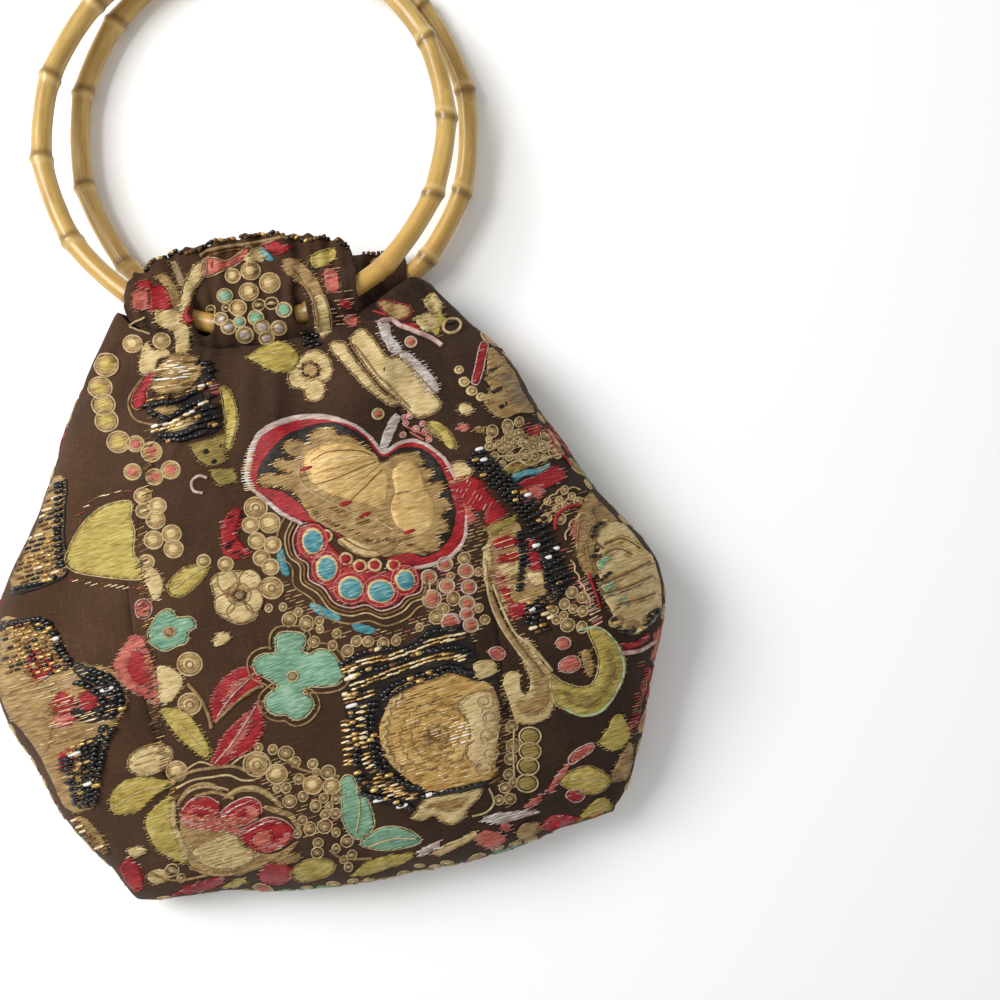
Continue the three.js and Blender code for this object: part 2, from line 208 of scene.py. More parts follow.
def makeThread(name):
    *colours, metal, rough = threadLooks[name]
    material, tree, shader = startMaterial(name + "Thread")
    uv = addNode(tree, "ShaderNodeUVMap", uv_map="stitch").outputs["UV"]
    lines = addStretched(tree, uv, threadSet["lines"], 2.0, 0.55, True)
    cloud = addStretched(tree, uv, threadSet["cloud"], 3.0, 0.55, True)
    tone = mixTones(tree, lines, threadSet["lineShare"], cloud, threadSet["cloudShare"])
    colour = addRamp(tree, tone, list(zip(threadSet["stops"], colours)))
    sockets = {"Roughness": rough, "Specular IOR Level": threadSet["specular"], "Metallic": metal}
    finishShader(tree, shader, colour, sockets, lines, threadSet["bump"])
    return material


# Cords and beads: dark and light colour, metal share, roughness
beadLooks = {
    "creamCord": ((150, 126, 84), (198, 176, 132), 0.0, 0.6),
    "pinkCord": ((154, 116, 106), (204, 178, 166), 0.0, 0.55),
    "tanCord": ((110, 84, 52), (160, 132, 88), 0.0, 0.65),
    "redCord": ((112, 16, 24), (172, 50, 52), 0.0, 0.55),
    "blackBead": ((6, 5, 4), (20, 16, 14), 0.0, 0.14),
    "goldBead": ((150, 108, 48), (226, 188, 116), 0.5, 0.28),
    "bronzeBead": ((78, 50, 22), (132, 94, 48), 0.35, 0.36),
    "paleBead": ((200, 172, 122), (242, 224, 182), 0.15, 0.28),
    "coralCord": ((150, 70, 66), (200, 120, 112), 0.0, 0.55),
    "limeCord": ((122, 114, 42), (182, 170, 88), 0.0, 0.6),
    "mintCord": ((120, 150, 118), (176, 196, 160), 0.0, 0.6),
    # white beads; many of them are set where they stand for painted glints on the beadwork
    "whiteBead": ((206, 200, 194), (248, 246, 242), 0.0, 0.18),
    "redBead": ((120, 16, 22), (182, 40, 46), 0.0, 0.2),
}


beadSet = {"grain": 420, "ply": 1500, "stops": (0.3, 0.7), "bump": (0.5, 0.0005), "cordSpecular": 0.25}


def makeBead(name):
    *colours, metal, rough = beadLooks[name]
    material, tree, shader = startMaterial(name)
    coords = addNode(tree, "ShaderNodeTexCoord").outputs["Object"]
    grain = addStretched(tree, coords, [beadSet["grain"]] * 3)
    colour = addRamp(tree, grain, list(zip(beadSet["stops"], colours)))
    sockets = {"Roughness": rough, "Metallic": metal}
    ply = None
    if name.endswith("Cord"):  # twist of the cord
        sockets["Specular IOR Level"] = beadSet["cordSpecular"]
        ply = addStretched(tree, coords, [beadSet["ply"]] * 3, 1.0)
    finishShader(tree, shader, colour, sockets, ply, beadSet["bump"])
    return material


bambooLook = {
    "cane": ((0.25, (160, 123, 56)), (0.5, (187, 151, 76)), (0.75, (204, 172, 97))),
    "joint": (112, 78, 32),
    # painted highlight: pale band just past each joint, standing in for light caught by the node
    "pale": (210, 184, 128),
    "amber": (200, 150, 68),
    "near": {"from": 0.095, "to": 0.030, "by": 0.5},  # the cane is deeper near the cloth
    "streak": (5, 4, 1),
    "fibre": (14, 60, 1),
    "streakShare": 0.7,
    "fibreShare": 0.3,
    "bump": (0.08, 0.0003),
    "shader": {"Roughness": 0.36, "Coat Weight": 0.2, "Coat Roughness": 0.12},
}


def makeBamboo():
    material, tree, shader = startMaterial("goldenBamboo")
    uv = addNode(tree, "ShaderNodeUVMap", uv_map="cane").outputs["UV"]
    streak = addStretched(tree, uv, bambooLook["streak"], 2.0, 0.5, True)
    fibre = addStretched(tree, uv, bambooLook["fibre"], 2.0, 0.6, True)
    tone = mixTones(tree, streak, bambooLook["streakShare"], fibre, bambooLook["fibreShare"])
    colour = addRamp(tree, tone, bambooLook["cane"])
    coords = addNode(tree, "ShaderNodeTexCoord").outputs["Object"]
    reach = addNode(tree, "ShaderNodeSeparateXYZ", {"Vector": coords}).outputs["Y"]
    near = addFade(tree, reach, bambooLook["near"])
    # joint attribute: positive for the dark joint band, negative for the painted highlight beside it
    jointAndPaintedHighlight = addNode(tree, "ShaderNodeAttribute", attribute_name="joint").outputs["Fac"]
    brown = addMath(tree, "MAXIMUM", jointAndPaintedHighlight, 0.0)
    light = addMath(tree, "MAXIMUM", addMath(tree, "MULTIPLY", jointAndPaintedHighlight, -1.0), 0.0)
    for share, shade in ((near, "amber"), (light, "pale"), (brown, "joint")):
        mixed = addNode(
            tree,
            "ShaderNodeMix",
            {6: colour, 7: (*lin(bambooLook[shade]), 1), 0: share},
            data_type="RGBA",
        )
        colour = mixed.outputs[2]
    finishShader(tree, shader, colour, bambooLook["shader"], fibre, bambooLook["bump"])
    return material


finishes = {"cloth": makeCloth(), "bamboo": makeBamboo()}
finishes.update({name: makeThread(name) for name in threadLooks})
finishes.update({name: makeBead(name) for name in beadLooks})
print("finishes ready:", len(finishes))


def addPiece(name, mesh, finish, smooth=True):
    mesh.materials.clear()
    mesh.materials.append(finishes[finish])
    mesh.polygons.foreach_set("use_smooth", [smooth] * len(mesh.polygons))
    piece = bpy.data.objects.new(name, mesh)
    scene.collection.objects.link(piece)
    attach(piece, "root")
    return piece


# Cloth panels and casings

clothSet = {
    "levels": 2,
    "seed": 2,  # the same folds each time
    "sharp": 48,  # degrees, edges kept crisp
    "crisp": 1.0,
    "crispCasing": 0.35,
    "meet": 0.0006,  # each panel reaches into its seams
    "rumple": ((0.040, 0.0012), (0.017, 0.0010), (0.0075, 0.00042), (0.0032, 0.00014)),  # size and height
    "leftEnd": {"from": -0.042, "across": 0.017, "above": 0.044, "height": 0.024, "in": 0.007, "down": 0.010},
    "rounded": {  # eased left of and above these
        "front_casing": (-0.036, 0.045),
        "back_casing": (-0.030, 0.045),
        "left_side_panel": (-0.050, 0.030),
    },
    "roundings": 14,
    "corner": {  # fuller at the lower left
        "at": Vector((-0.092, -0.187)),
        "by": Vector((-0.0012, -0.0034, 0)),
        "size": 0.020,
    },
    "pucker": {  # gathers under the ring
        "pitch": 0.0068,
        "height": 0.00075,
        "above": 0.012,
        "ease": 0.022,
        "drift": 3.2,
        "driftSize": 0.015,
    },
    "weld": 1e-6,
    "join": (0.7, 1.2),  # how far triangles may bend and skew to become one face
}
sidePanels = ["left_side_panel", "right_side_panel"]
# name, node, cut width and length, flat area, how it is held and by what
clothPieces = (
    ("frontPanel", "front_panel", (0.150, 0.260), 0.0275, "stretched", sidePanels),
    ("backPanel", "back_panel", (0.190, 0.245), 0.0353, "laid", sidePanels),
    ("leftSidePanel", "left_side_panel", (0.130, 0.270), 0.0257, "gathered", ["back_panel"]),
    ("rightSidePanel", "right_side_panel", (0.130, 0.270), 0.0253, "gathered", ["back_panel"]),
    ("frontCasing", "front_casing", (0.105, 0.055), None, "gathered", ["front_ring"]),
    ("backCasing", "back_casing", (0.118, 0.056), None, "gathered", ["back_ring"]),
)
noise.seed_set(clothSet["seed"])


def rumpled(point):
    moved = Vector(point)
    for size, height in clothSet["rumple"]:
        moved += noise.noise_vector(point / size) * height
    pucker = clothSet["pucker"]
    share = min(max((point.y - pucker["above"]) / pucker["ease"], 0.0), 1.0)
    drift = pucker["drift"] * noise.noise(point / pucker["driftSize"])
    moved.z += share * pucker["height"] * math.sin(2 * math.pi * point.x / pucker["pitch"] + drift)
    corner = clothSet["corner"]
    moved += corner["by"] * math.exp(-(((point.xy - corner["at"]).length / corner["size"]) ** 2))
    moved.z = max(moved.z, 0.0)
    return moved


def tuckedIn(point):  # the gathers draw the casing's left end in over the cane
    end = clothSet["leftEnd"]
    aside = min(max((end["from"] - point.x) / end["across"], 0.0), 1.0)
    up = min(max((point.y - end["above"]) / end["height"], 0.0), 1.0)
    return Vector((point.x + end["in"] * aside * up, point.y - end["down"] * aside * up, point.z))


def makeSoft(name, node):
    shape = bmesh.new()
    shape.from_mesh(nodes[node].data)
    bmesh.ops.remove_doubles(shape, verts=shape.verts, dist=clothSet["weld"])
    shape.normal_update()
    for vertex in shape.verts:
        vertex.co += vertex.normal * clothSet["meet"]
    bend, skew = clothSet["join"]
    bmesh.ops.join_triangles(shape, faces=shape.faces, angle_face_threshold=bend, angle_shape_threshold=skew)
    crease = shape.edges.layers.float.new("crease_edge")
    for edge in shape.edges:
        if edge.calc_face_angle(0.0) > math.radians(clothSet["sharp"]):
            edge[crease] = clothSet["crisp"] if node.endswith("panel") else clothSet["crispCasing"]
    mesh = bpy.data.meshes.new(name)
    shape.to_mesh(mesh)
    shape.free()
    rough = bpy.data.objects.new(name, mesh)
    scene.collection.objects.link(rough)
    finer = rough.modifiers.new("finer", "SUBSURF")
    finer.levels = clothSet["levels"]
    finer.render_levels = clothSet["levels"]
    bpy.context.view_layer.update()
    graph = bpy.context.evaluated_depsgraph_get()
    soft = bpy.data.meshes.new_from_object(rough.evaluated_get(graph))
    bpy.data.objects.remove(rough)
    bpy.data.meshes.remove(mesh)
    soft.name = name
    for vertex in soft.vertices:
        vertex.co = rumpled(tuckedIn(vertex.co) if node.endswith("casing") else vertex.co)
    if node in clothSet["rounded"]:
        left, above = clothSet["rounded"][node]
        eased = bmesh.new()
        eased.from_mesh(soft)
        corner = [v for v in eased.verts if v.co.x < left and v.co.y > above]
        for _ in range(clothSet["roundings"]):
            bmesh.ops.smooth_vert(
                eased, verts=corner, factor=0.5, use_axis_x=True, use_axis_y=True, use_axis_z=True
            )
        eased.to_mesh(soft)
        eased.free()
    return soft


clothMeshes = []
for name, node, flat, area, held, restsOn in clothPieces:
    mesh = makeSoft(name, node)
    clothMeshes.append(mesh)
    piece = addPiece(name, mesh, "cloth")
    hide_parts(node)
print("cloth ready:", sum(len(m.polygons) for m in clothMeshes), "faces")


# Bamboo rings

ringSet = {
    "radius": 81.0,
    "cane": 4.0,
    "swell": 0.5,
    "swellLength": 2.6,
    "straight": 0.35,
    "steps": 560,
    "sides": 18,
    "weld": 1e-4,
    "lean": 0.25,  # joints sit a little askew
    "faint": 0.25,
    "ridge": (0.20, 0.4, 0.9),  # height in mm, place past the joint, width
    "groove": (0.24, -1.6, 0.7),
    "dark": (0.8, -1.2, 1.6),
    # painted highlight: pale band just past each joint
    "light": (0.6, 2.0, 1.1),
    "waist": (0.12, 7),
    "wobble": (0.12, 9),
    "grain": 0.01,
}
rings = {
    "front": {
        "node": "front_ring",
        "middle": (-1.3, 109.9, 24.3),
        "rise": -19.4,
        "joints": (17, 45, 73, 101, 130, 155.5, 180, 206, 231, 256, 281, 305.5, 330, 353),
        "faint": 11,  # this joint hardly shows
    },
    "back": {
        "node": "back_ring",
        "middle": (7.7, 110.4, 6.05),
        "rise": -2.3,
        "joints": (4, 32, 59, 86, 111, 135, 158, 186, 212, 237, 262, 288, 312, 334),
        "faint": None,
    },
}


def hump(kind, gap):
    high, at, wide = ringSet[kind]
    return high * math.exp(-(((gap - at) / wide) ** 2))


def makeRing(name, ring):
    radius, cane = ringSet["radius"], ringSet["cane"]
    shape = bmesh.new()
    section = bmesh.ops.create_circle(shape, segments=ringSet["sides"], radius=cane)["verts"]
    bmesh.ops.rotate(shape, verts=section, cent=(0, 0, 0), matrix=Matrix.Rotation(math.pi / 2, 3, "X"))
    bmesh.ops.translate(shape, verts=section, vec=(radius, 0, 0))
    bmesh.ops.spin(
        shape,
        geom=shape.edges[:] + shape.verts[:],
        cent=(0, 0, 0),
        axis=(0, 0, 1),
        angle=2 * math.pi,
        steps=ringSet["steps"],
        use_merge=True,
    )
    bmesh.ops.remove_doubles(shape, verts=shape.verts, dist=ringSet["weld"])
    slope = math.atan2(ring["rise"], 2 * radius)
    tilt = Matrix.Rotation(slope, 3, "X")
    middle = Vector(ring["middle"])
    joints = [math.radians(a) for a in ring["joints"]]
    jointAndPaintedHighlightLayer = shape.verts.layers.float.new("joint")
    draws = random.Random(name)
    lean = [draws.uniform(-ringSet["lean"], ringSet["lean"]) for _ in joints]
    uvLayer = shape.loops.layers.uv.new("cane")
    for face in shape.faces:
        turns = [math.atan2(c.vert.co.y, c.vert.co.x) % (2 * math.pi) for c in face.loops]
        wraps = max(turns) - min(turns) > math.pi
        for corner, turn in zip(face.loops, turns):
            around = math.atan2(corner.vert.co.z, math.hypot(corner.vert.co.x, corner.vert.co.y) - radius)
            along = turn + (2 * math.pi if wraps and turn < math.pi else 0)
            corner[uvLayer].uv = (along * radius * ringSet["grain"], abs(around) / math.pi)
    for vertex in shape.verts:
        turn = math.atan2(vertex.co.y, vertex.co.x) % (2 * math.pi)
        out = math.hypot(vertex.co.x, vertex.co.y) - radius
        up = vertex.co.z
        around = math.atan2(up, out)
        last = max((k for k, j in enumerate(joints) if j <= turn), default=len(joints) - 1)
        following = (last + 1) % len(joints)
        span = (joints[following] - joints[last]) % (2 * math.pi)
        fromLast = (turn - joints[last]) % (2 * math.pi)
        half = span / 2
        straight = radius * math.cos(half) / math.cos(fromLast - half)
        bend = radius + (straight - radius) * ringSet["straight"]
        if fromLast < half:
            gap, which = fromLast * radius, last
        else:
            gap, which = (fromLast - span) * radius, following
        gap += lean[which] * cane * math.cos(around)
        shown = ringSet["faint"] if which == ring["faint"] else 1.0
        swell = ringSet["swell"] * shown * math.exp(-((gap / ringSet["swellLength"]) ** 2))
        ridge = hump("ridge", gap) - hump("groove", gap)
        waist, spread = ringSet["waist"]
        thin = -waist * (1 - math.exp(-((gap / spread) ** 2)))
        high, often = ringSet["wobble"]
        wobble = high * noise.noise(Vector((math.cos(turn) * often, math.sin(turn) * often, around)))
        reach = cane + swell + ridge * shown + thin + wobble
        radial = Vector((math.cos(turn), math.sin(turn), 0))
        place = radial * (bend + reach * math.cos(around)) + Vector((0, 0, reach * math.sin(around)))
        vertex.co = (middle + tilt @ place) * mm
        # dark joint bands, less the painted highlight beside each joint
        vertex[jointAndPaintedHighlightLayer] = shown * (hump("dark", gap) - hump("light", gap))
    bmesh.ops.recalc_face_normals(shape, faces=shape.faces)
    mesh = bpy.data.meshes.new(name)
    shape.to_mesh(mesh)
    shape.free()
    return mesh


for side, ring in rings.items():
    piece = addPiece(side + "Ring", makeRing(side + "Ring", ring), "bamboo")
    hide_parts(ring["node"])
print("bamboo rings ready")


# Laying embroidery on the cloth

clothTree = bmesh.new()
for mesh in clothMeshes:
    clothTree.from_mesh(mesh)
surface = BVHTree.FromBMesh(clothTree)
clothTree.free()

layout = {
    "thread": 17,  # degrees, rise of the stitches to the right
    "cell": 7,
    "fineCell": 4.5,  # over the gathers
    "fineAbove": 400,
    "ragged": 0.6,  # how far stitch ends stray
    "grain": 0.00038,  # metres a picture point spans on the bag
    "middle": (330, 600),
    "slit": 0.0005,  # deepest step between neighbouring points of the cloth
    "fineThread": 0.6,  # mm, thinner work is stitches, not beads
    "rim": 3,  # picture points kept clear of the bag's outline
    "fall": 0.0035,
    "steep": 0.35,  # least share of a wall's normal that faces the stitches
    "draw": 0.01,  # steps by which a point off the edge is drawn in
    "drawMost": 0.8,
    "halvings": 5,
    "beside": ((-2, 0), (2, 0), (0, -2), (0, 2)),
    "tries": 40,
    "tryStep": 0.02,
    "sunk": 0.25,  # mm, foot of a patch below the cloth
    "shoulder": 0.55,  # height of its edge, as a share
    "within": 0.42,  # share of a stitch, either way, that stays inside its field
}


def castDown(across, down):
    u = (across - viewMiddle) / viewFocus
    v = (viewMiddle - down) / viewFocus
    ray = Vector((
        u * math.cos(viewTurn) - v * math.sin(viewTurn),
        u * math.sin(viewTurn) + v * math.cos(viewTurn),
        -1,
    )).normalized()
    hit, normal, _, _ = surface.ray_cast(viewEye, ray)
    return hit, normal


def openCloth(px, py, beyond):  # cloth that can be stitched from above, not the wall past the rim
    hit, normal = castDown(px, py)
    if hit is not None and beyond is not None:
        past = castDown(px + beyond.x, py + beyond.y)[0]
        if past is None or past.z < hit.z - layout["fall"]:
            return None, None
    return hit, normal


def fromAbove(across, down, clear=True):
    middle = Vector(layout["middle"])
    start = Vector((across, down))
    beyond = (start - middle).normalized() * layout["rim"] if clear else None
    share, hit, normal = 0.0, *openCloth(across, down, beyond)
    while hit is None and share < layout["drawMost"]:  # drawn in until it meets open cloth
        share += layout["draw"]
        hit, normal = openCloth(*start.lerp(middle, share), beyond)
    if hit is None:
        return viewEye, Vector((0, 0, 1))
    if share:
        off = share - layout["draw"]
        for _ in range(layout["halvings"]):
            half = (off + share) / 2
            tried = openCloth(*start.lerp(middle, half), beyond)
            if tried[0] is None:
                off = half
            else:
                share, (hit, normal) = half, tried
    px, py = start.lerp(middle, share)
    around = [castDown(px + a, py + b)[0] for a, b in layout["beside"]]
    above = [h.z for h in around if h is not None and h.z > hit.z + layout["slit"]]
    if len(above) > 1:  # the point falls in a seam, so the work bridges it
        hit = Vector((hit.x, hit.y, sum(above) / len(above)))
    return hit, normal


def onEdge(across, down):
    return fromAbove(across, down, False)


underneath = Vector((0, -0.085, -0.05))


def fromBelow(across, down):
    for step in range(layout["tries"]):
        share = 1 - step * layout["tryStep"]
        place = Vector(((viewMiddle - across) * share, (viewMiddle - down) * share, 0)) * layout["grain"]
        place += underneath
        hit, normal, _, _ = surface.ray_cast(place, Vector((0, 0, 1)))
        if hit is not None and normal.z < -layout["steep"]:
            return hit, normal
    return Vector(), Vector((0, 0, -1))


wallSet = {
    "centre": Vector((0, -0.085, 0)),
    "from": math.radians(126),  # round past the bottom to the other side of the mouth
    "reach": 0.124,
    "outside": 0.5,
    "top": 0.042,
    "middle": 0.018,
    "length": 1630,
    "apart": 0.94,
    "onFront": (0.05, 0.6),  # share of the normal that faces up: perhaps, surely
    "depth": 104,
}


def fromSide(across, down):
    angle = wallSet["from"] + across * layout["grain"] / wallSet["reach"]
    out = Vector((math.cos(angle), math.sin(angle), 0))
    for step in range(layout["tries"]):
        height = wallSet["top"] - down * layout["grain"]
        height += (wallSet["middle"] - height) * step * layout["tryStep"]
        start = wallSet["centre"] + out * wallSet["outside"] + Vector((0, 0, height))
        hit, normal, _, _ = surface.ray_cast(start, -out)
        if hit is not None and normal.dot(out) > layout["steep"]:
            return hit, normal
    return wallSet["centre"], out


def chalk(marks):  # points of the picture, written "x,y x,y"
    return [tuple(float(n) for n in mark.split(",")) for mark in marks.split()]


def smoothLine(points, closed=True, step=4.0):
    line = []
    count = len(points)
    spans = count if closed else count - 1
    for k in range(spans):
        if closed:
            four = [Vector(points[(k + d) % count]) for d in (-1, 0, 1, 2)]
        else:
            four = [Vector(points[min(max(k + d, 0), count - 1)]) for d in (-1, 0, 1, 2)]
        a, b, c, d = four
        parts = max(1, round((c - b).length / step))
        for part in range(parts):
            t = part / parts
            bend = (2 * a - 5 * b + 4 * c - d) * t * t + (3 * b - a - 3 * c + d) * t**3
            line.append(0.5 * (2 * b + (c - a) * t + bend))
    if not closed:
        line.append(Vector(points[-1]))
    return line


def ellipse(x, y, long, wide, turn=0, count=16):
    c, s = math.cos(math.radians(turn)), math.sin(math.radians(turn))
    outline = []
    for k in range(count):
        a = 2 * math.pi * k / count
        u, v = long * math.cos(a), wide * math.sin(a)
        outline.append((x + u * c + v * s, y - u * s + v * c))
    return outline


leafShape = ((0, 0.04), (0.18, 0.62), (0.42, 1), (0.66, 0.86), (0.86, 0.42), (1, 0.03))  # along, width


def leaf(start, end, wide, bend=0.0):
    a, b = Vector(start), Vector(end)
    along = b - a
    aside = Vector((along.y, -along.x)).normalized()
    outline = []
    for t, w in leafShape:
        outline.append(a + along * t + aside * (w * wide / 2 + bend * 4 * t * (1 - t)))
    for t, w in leafShape[::-1]:
        outline.append(a + along * t - aside * (w * wide / 2 - bend * 4 * t * (1 - t)))
    return [tuple(p) for p in outline]


def sideways(line, k):
    ahead = line[min(k + 1, len(line) - 1)] - line[max(k - 1, 0)]
    return Vector((ahead.y, -ahead.x)).normalized()


def ribbon(points, wide, taper=0.35):
    line = smoothLine(points, False, 6)
    left, right = [], []
    for k, p in enumerate(line):
        aside = sideways(line, k)
        t = k / (len(line) - 1)
        half = wide / 2 * (taper + (1 - taper) * math.sin(math.pi * min(max(t, 0.0), 1.0)) ** 0.5)
        left.append(tuple(p + aside * half))
        right.append(tuple(p - aside * half))
    return left + right[::-1]


def grown(outline, by):
    line = smoothLine(outline, True, 3)
    turning = sum(line[k - 1].x * p.y - p.x * line[k - 1].y for k, p in enumerate(line))
    wider = []
    for k, p in enumerate(line):
        ahead = line[(k + 1) % len(line)] - line[k - 1]
        wider.append(tuple(p + Vector((ahead.y, -ahead.x)).normalized() * math.copysign(by, turning)))
    return wider


def inside(outline, x, y):
    found = False
    count = len(outline)
    for k in range(count):
        x0, y0 = outline[k]
        x1, y1 = outline[(k + 1) % count]
        if (y0 > y) != (y1 > y) and x < (x1 - x0) * (y - y0) / (y1 - y0) + x0:
            found = not found
    return found


def crowded(x, y, r, kept, apart):
    return any(math.hypot(x - a, y - b) < apart * (r + c) for a, b, c in kept)


beds = {}
edgeDraws = random.Random(29)
laid = {fromAbove: [], fromBelow: [], fromSide: []}  # what later work lies on
laid[onEdge] = laid[fromAbove]


def heightAt(x, y, project=fromAbove):
    high = 0.0
    for left, right, top, bottom, outline, height in laid[project]:
        if height > high and left < x < right and top < y < bottom and inside(outline, x, y):
            high = height
    return high


def layPatch(finish, outline, high=0.45, rim=1.3, turn=None, project=fromAbove, smooth=True):
    line = smoothLine(outline) if smooth else [Vector(p) for p in outline]
    angle = math.radians(layout["thread"] if turn is None else turn)
    c, s = math.cos(angle), math.sin(angle)
    for point in line:
        point += Vector((c, -s)) * edgeDraws.uniform(-layout["ragged"], layout["ragged"])
    across, down = [p.x for p in line], [p.y for p in line]
    loop = [tuple(p) for p in line]
    laid[project].append((min(across), max(across), min(down), max(down), loop, high))
    shape = bmesh.new()
    ringVerts = bmesh.ops.create_circle(shape, cap_ends=True, segments=len(line), radius=1)["verts"]
    for vertex, point in zip(ringVerts, line):
        vertex.co = (point.x, -point.y, -layout["sunk"])
    bottom = shape.faces[:]
    raised = bmesh.ops.extrude_face_region(shape, geom=bottom, use_keep_orig=True)["geom"]
    top = [g for g in raised if isinstance(g, bmesh.types.BMFace)]
    lifted = [g for g in raised if isinstance(g, bmesh.types.BMVert)]
    bmesh.ops.translate(shape, verts=lifted, vec=(0, 0, layout["sunk"] + high * layout["shoulder"]))
    bmesh.ops.inset_region(shape, faces=top, thickness=rim, depth=0, use_even_offset=True)
    for face in top:
        if face.is_valid:
            for vertex in face.verts:
                vertex.co.z = high
    cell = layout["fineCell"] if min(down) < layout["fineAbove"] and project is fromAbove else layout["cell"]
    for axis in (0, 1):
        reach = [v.co[axis] for v in shape.verts]
        for k in range(math.ceil(min(reach) / cell), math.floor(max(reach) / cell) + 1):
            cut = [0, 0, 0]
            cut[axis] = k * cell
            way = [0, 0, 0]
            way[axis] = 1
            everything = shape.verts[:] + shape.edges[:] + shape.faces[:]
            bmesh.ops.bisect_plane(shape, geom=everything, dist=1e-4, plane_co=cut, plane_no=way)
    bmesh.ops.triangulate(shape, faces=shape.faces)
    bmesh.ops.recalc_face_normals(shape, faces=shape.faces)
    uvLayer = shape.loops.layers.uv.new("stitch")
    for face in shape.faces:
        for corner in face.loops:
            x, y = corner.vert.co.x, corner.vert.co.y
            corner[uvLayer].uv = ((x * c + y * s) * layout["grain"], (y * c - x * s) * layout["grain"])
    for vertex in shape.verts:
        hit, normal = project(vertex.co.x, -vertex.co.y)
        vertex.co = hit + normal * (vertex.co.z * mm)
    part = bpy.data.meshes.new("part")
    shape.to_mesh(part)
    shape.free()
    if finish not in beds:
        beds[finish] = bmesh.new()
    beds[finish].from_mesh(part)
    bpy.data.meshes.remove(part)


cordLines = {}


def layCord(finish, points, wide=1.0, closed=False, lift=0.35, project=fromAbove, smooth=True):
    line = smoothLine(points, closed, 3.0) if smooth else [Vector(p) for p in points]
    path = []
    for point in line:
        hit, normal = project(point.x, point.y)
        path.append(hit + normal * ((wide / 2 * lift + heightAt(point.x, point.y, project)) * mm))
    cordLines.setdefault(finish, []).append((path, wide / 2, closed))


beadPlaces = {}


def layBead(finish, x, y, long, wide, turn=None, lift=0.5, project=fromAbove, flat=None):
    angle = math.radians(layout["thread"] if turn is None else turn)
    dx, dy = math.cos(angle) * long / 2, -math.sin(angle) * long / 2
    first, normalA = project(x - dx, y - dy)
    second, normalB = project(x + dx, y + dy)
    along = second - first
    if not 1e-5 < along.length < long * layout["grain"] * 1.8:
        return
    normal = (normalA + normalB).normalized()
    side = normal.cross(along.normalized())
    up = along.normalized().cross(side)
    half = wide / 2 * mm
    deep = half if flat is None else flat * mm
    middle = (first + second) / 2 + normal * (deep * lift + heightAt(x, y, project) * mm)
    stretched = Matrix((along / 2, side * half, up * deep)).transposed().to_4x4()
    kind = "stitch" if wide < layout["fineThread"] else "bead"
    beadPlaces.setdefault(finish, []).append((kind, Matrix.Translation(middle) @ stretched))


fieldDraws = random.Random(41)


def layField(outline, mix, pitch=3.2, long=(8, 20), wide=0.7, turn=None, gap=1.0, fill=0.95,
             project=fromAbove):
    loop = [tuple(p) for p in smoothLine(outline)]
    angle = math.radians(layout["thread"] if turn is None else turn)
    way, aside = Vector((math.cos(angle), -math.sin(angle))), Vector((math.sin(angle), math.cos(angle)))
    middle = sum((Vector(p) for p in loop), Vector((0, 0))) / len(loop)
    reach = max((Vector(p) - middle).length for p in loop)
    names, weights = list(mix), list(mix.values())
    row = -reach
    while row < reach:
        along = -reach + fieldDraws.uniform(0, long[0])
        while along < reach:
            size = fieldDraws.uniform(*long)
            place = middle + way * (along + size / 2) + aside * row
            name = fieldDraws.choices(names, weights)[0]
            keep = fieldDraws.random() < fill
            half = way * size * layout["within"]
            if keep and inside(loop, *(place - half)) and inside(loop, *(place + half)):
                layBead(name, place.x, place.y, size, wide, turn, 0.5, project)
            along += size + gap
        row += pitch


def layRow(points, mix, step=6.0, long=6.0, wide=1.0, turn=None, jitter=0.6, project=fromAbove):
    line = smoothLine(points, False, step)
    names, weights = list(mix), list(mix.values())
    for point in line:
        x = point.x + fieldDraws.uniform(-jitter, jitter)
        y = point.y + fieldDraws.uniform(-jitter, jitter)
        name = fieldDraws.choices(names, weights)[0]
        layBead(name, x, y, long * fieldDraws.uniform(0.8, 1.2), wide, turn, 0.5, project)


# Thread that shows past the edge of each patch
edgeThreads = {
    "cream": {"creamCord": 4, "tanCord": 2, "paleBead": 1},
    "tan": {"tanCord": 3, "creamCord": 2, "goldBead": 1},
    "gold": {"goldBead": 2, "paleBead": 1, "bronzeBead": 2},
    "red": {"redCord": 4, "coralCord": 2, "pinkCord": 1},
    "coral": {"coralCord": 3, "pinkCord": 2},
    "lime": {"limeCord": 4, "creamCord": 1},
    "olive": {"limeCord": 3, "tanCord": 2},
    "teal": {"mintCord": 1},
    "silver": {"pinkCord": 2, "whiteBead": 1},
    "stone": {"tanCord": 1},
}
frayed = {"step": 3.6, "long": 7.0, "wide": 0.4, "jitter": 1.3}


def frayEdge(finish, outline, project=fromAbove):
    if finish in edgeThreads:
        closed = list(outline) + list(outline[:1])
        layRow(closed, edgeThreads[finish], frayed["step"], frayed["long"], frayed["wide"], None,
               frayed["jitter"], project)


def layBand(points, mix, rows, apart=5.5, step=5.5, long=7.0, wide=1.7):
    line = smoothLine(points, False, 6)
    for row in range(rows):
        aside = (row - (rows - 1) / 2) * apart
        path = []
        for k, p in enumerate(line):
            path.append(tuple(p + sideways(line, k) * aside))
        layRow(path, mix, step, long, wide)


def layDot(finish, x, y, r, high=0.35):
    layBead(finish, x, y, 2 * r, 2 * r * layout["grain"] / mm, 0, 0.3, fromAbove, high)


laceDraws = random.Random(17)
laceSet = {"apart": 0.92, "clear": 0.2, "round": 0.9, "core": 0.78,
           "eye": 0.36}  # shares of a ring, clear height in mm


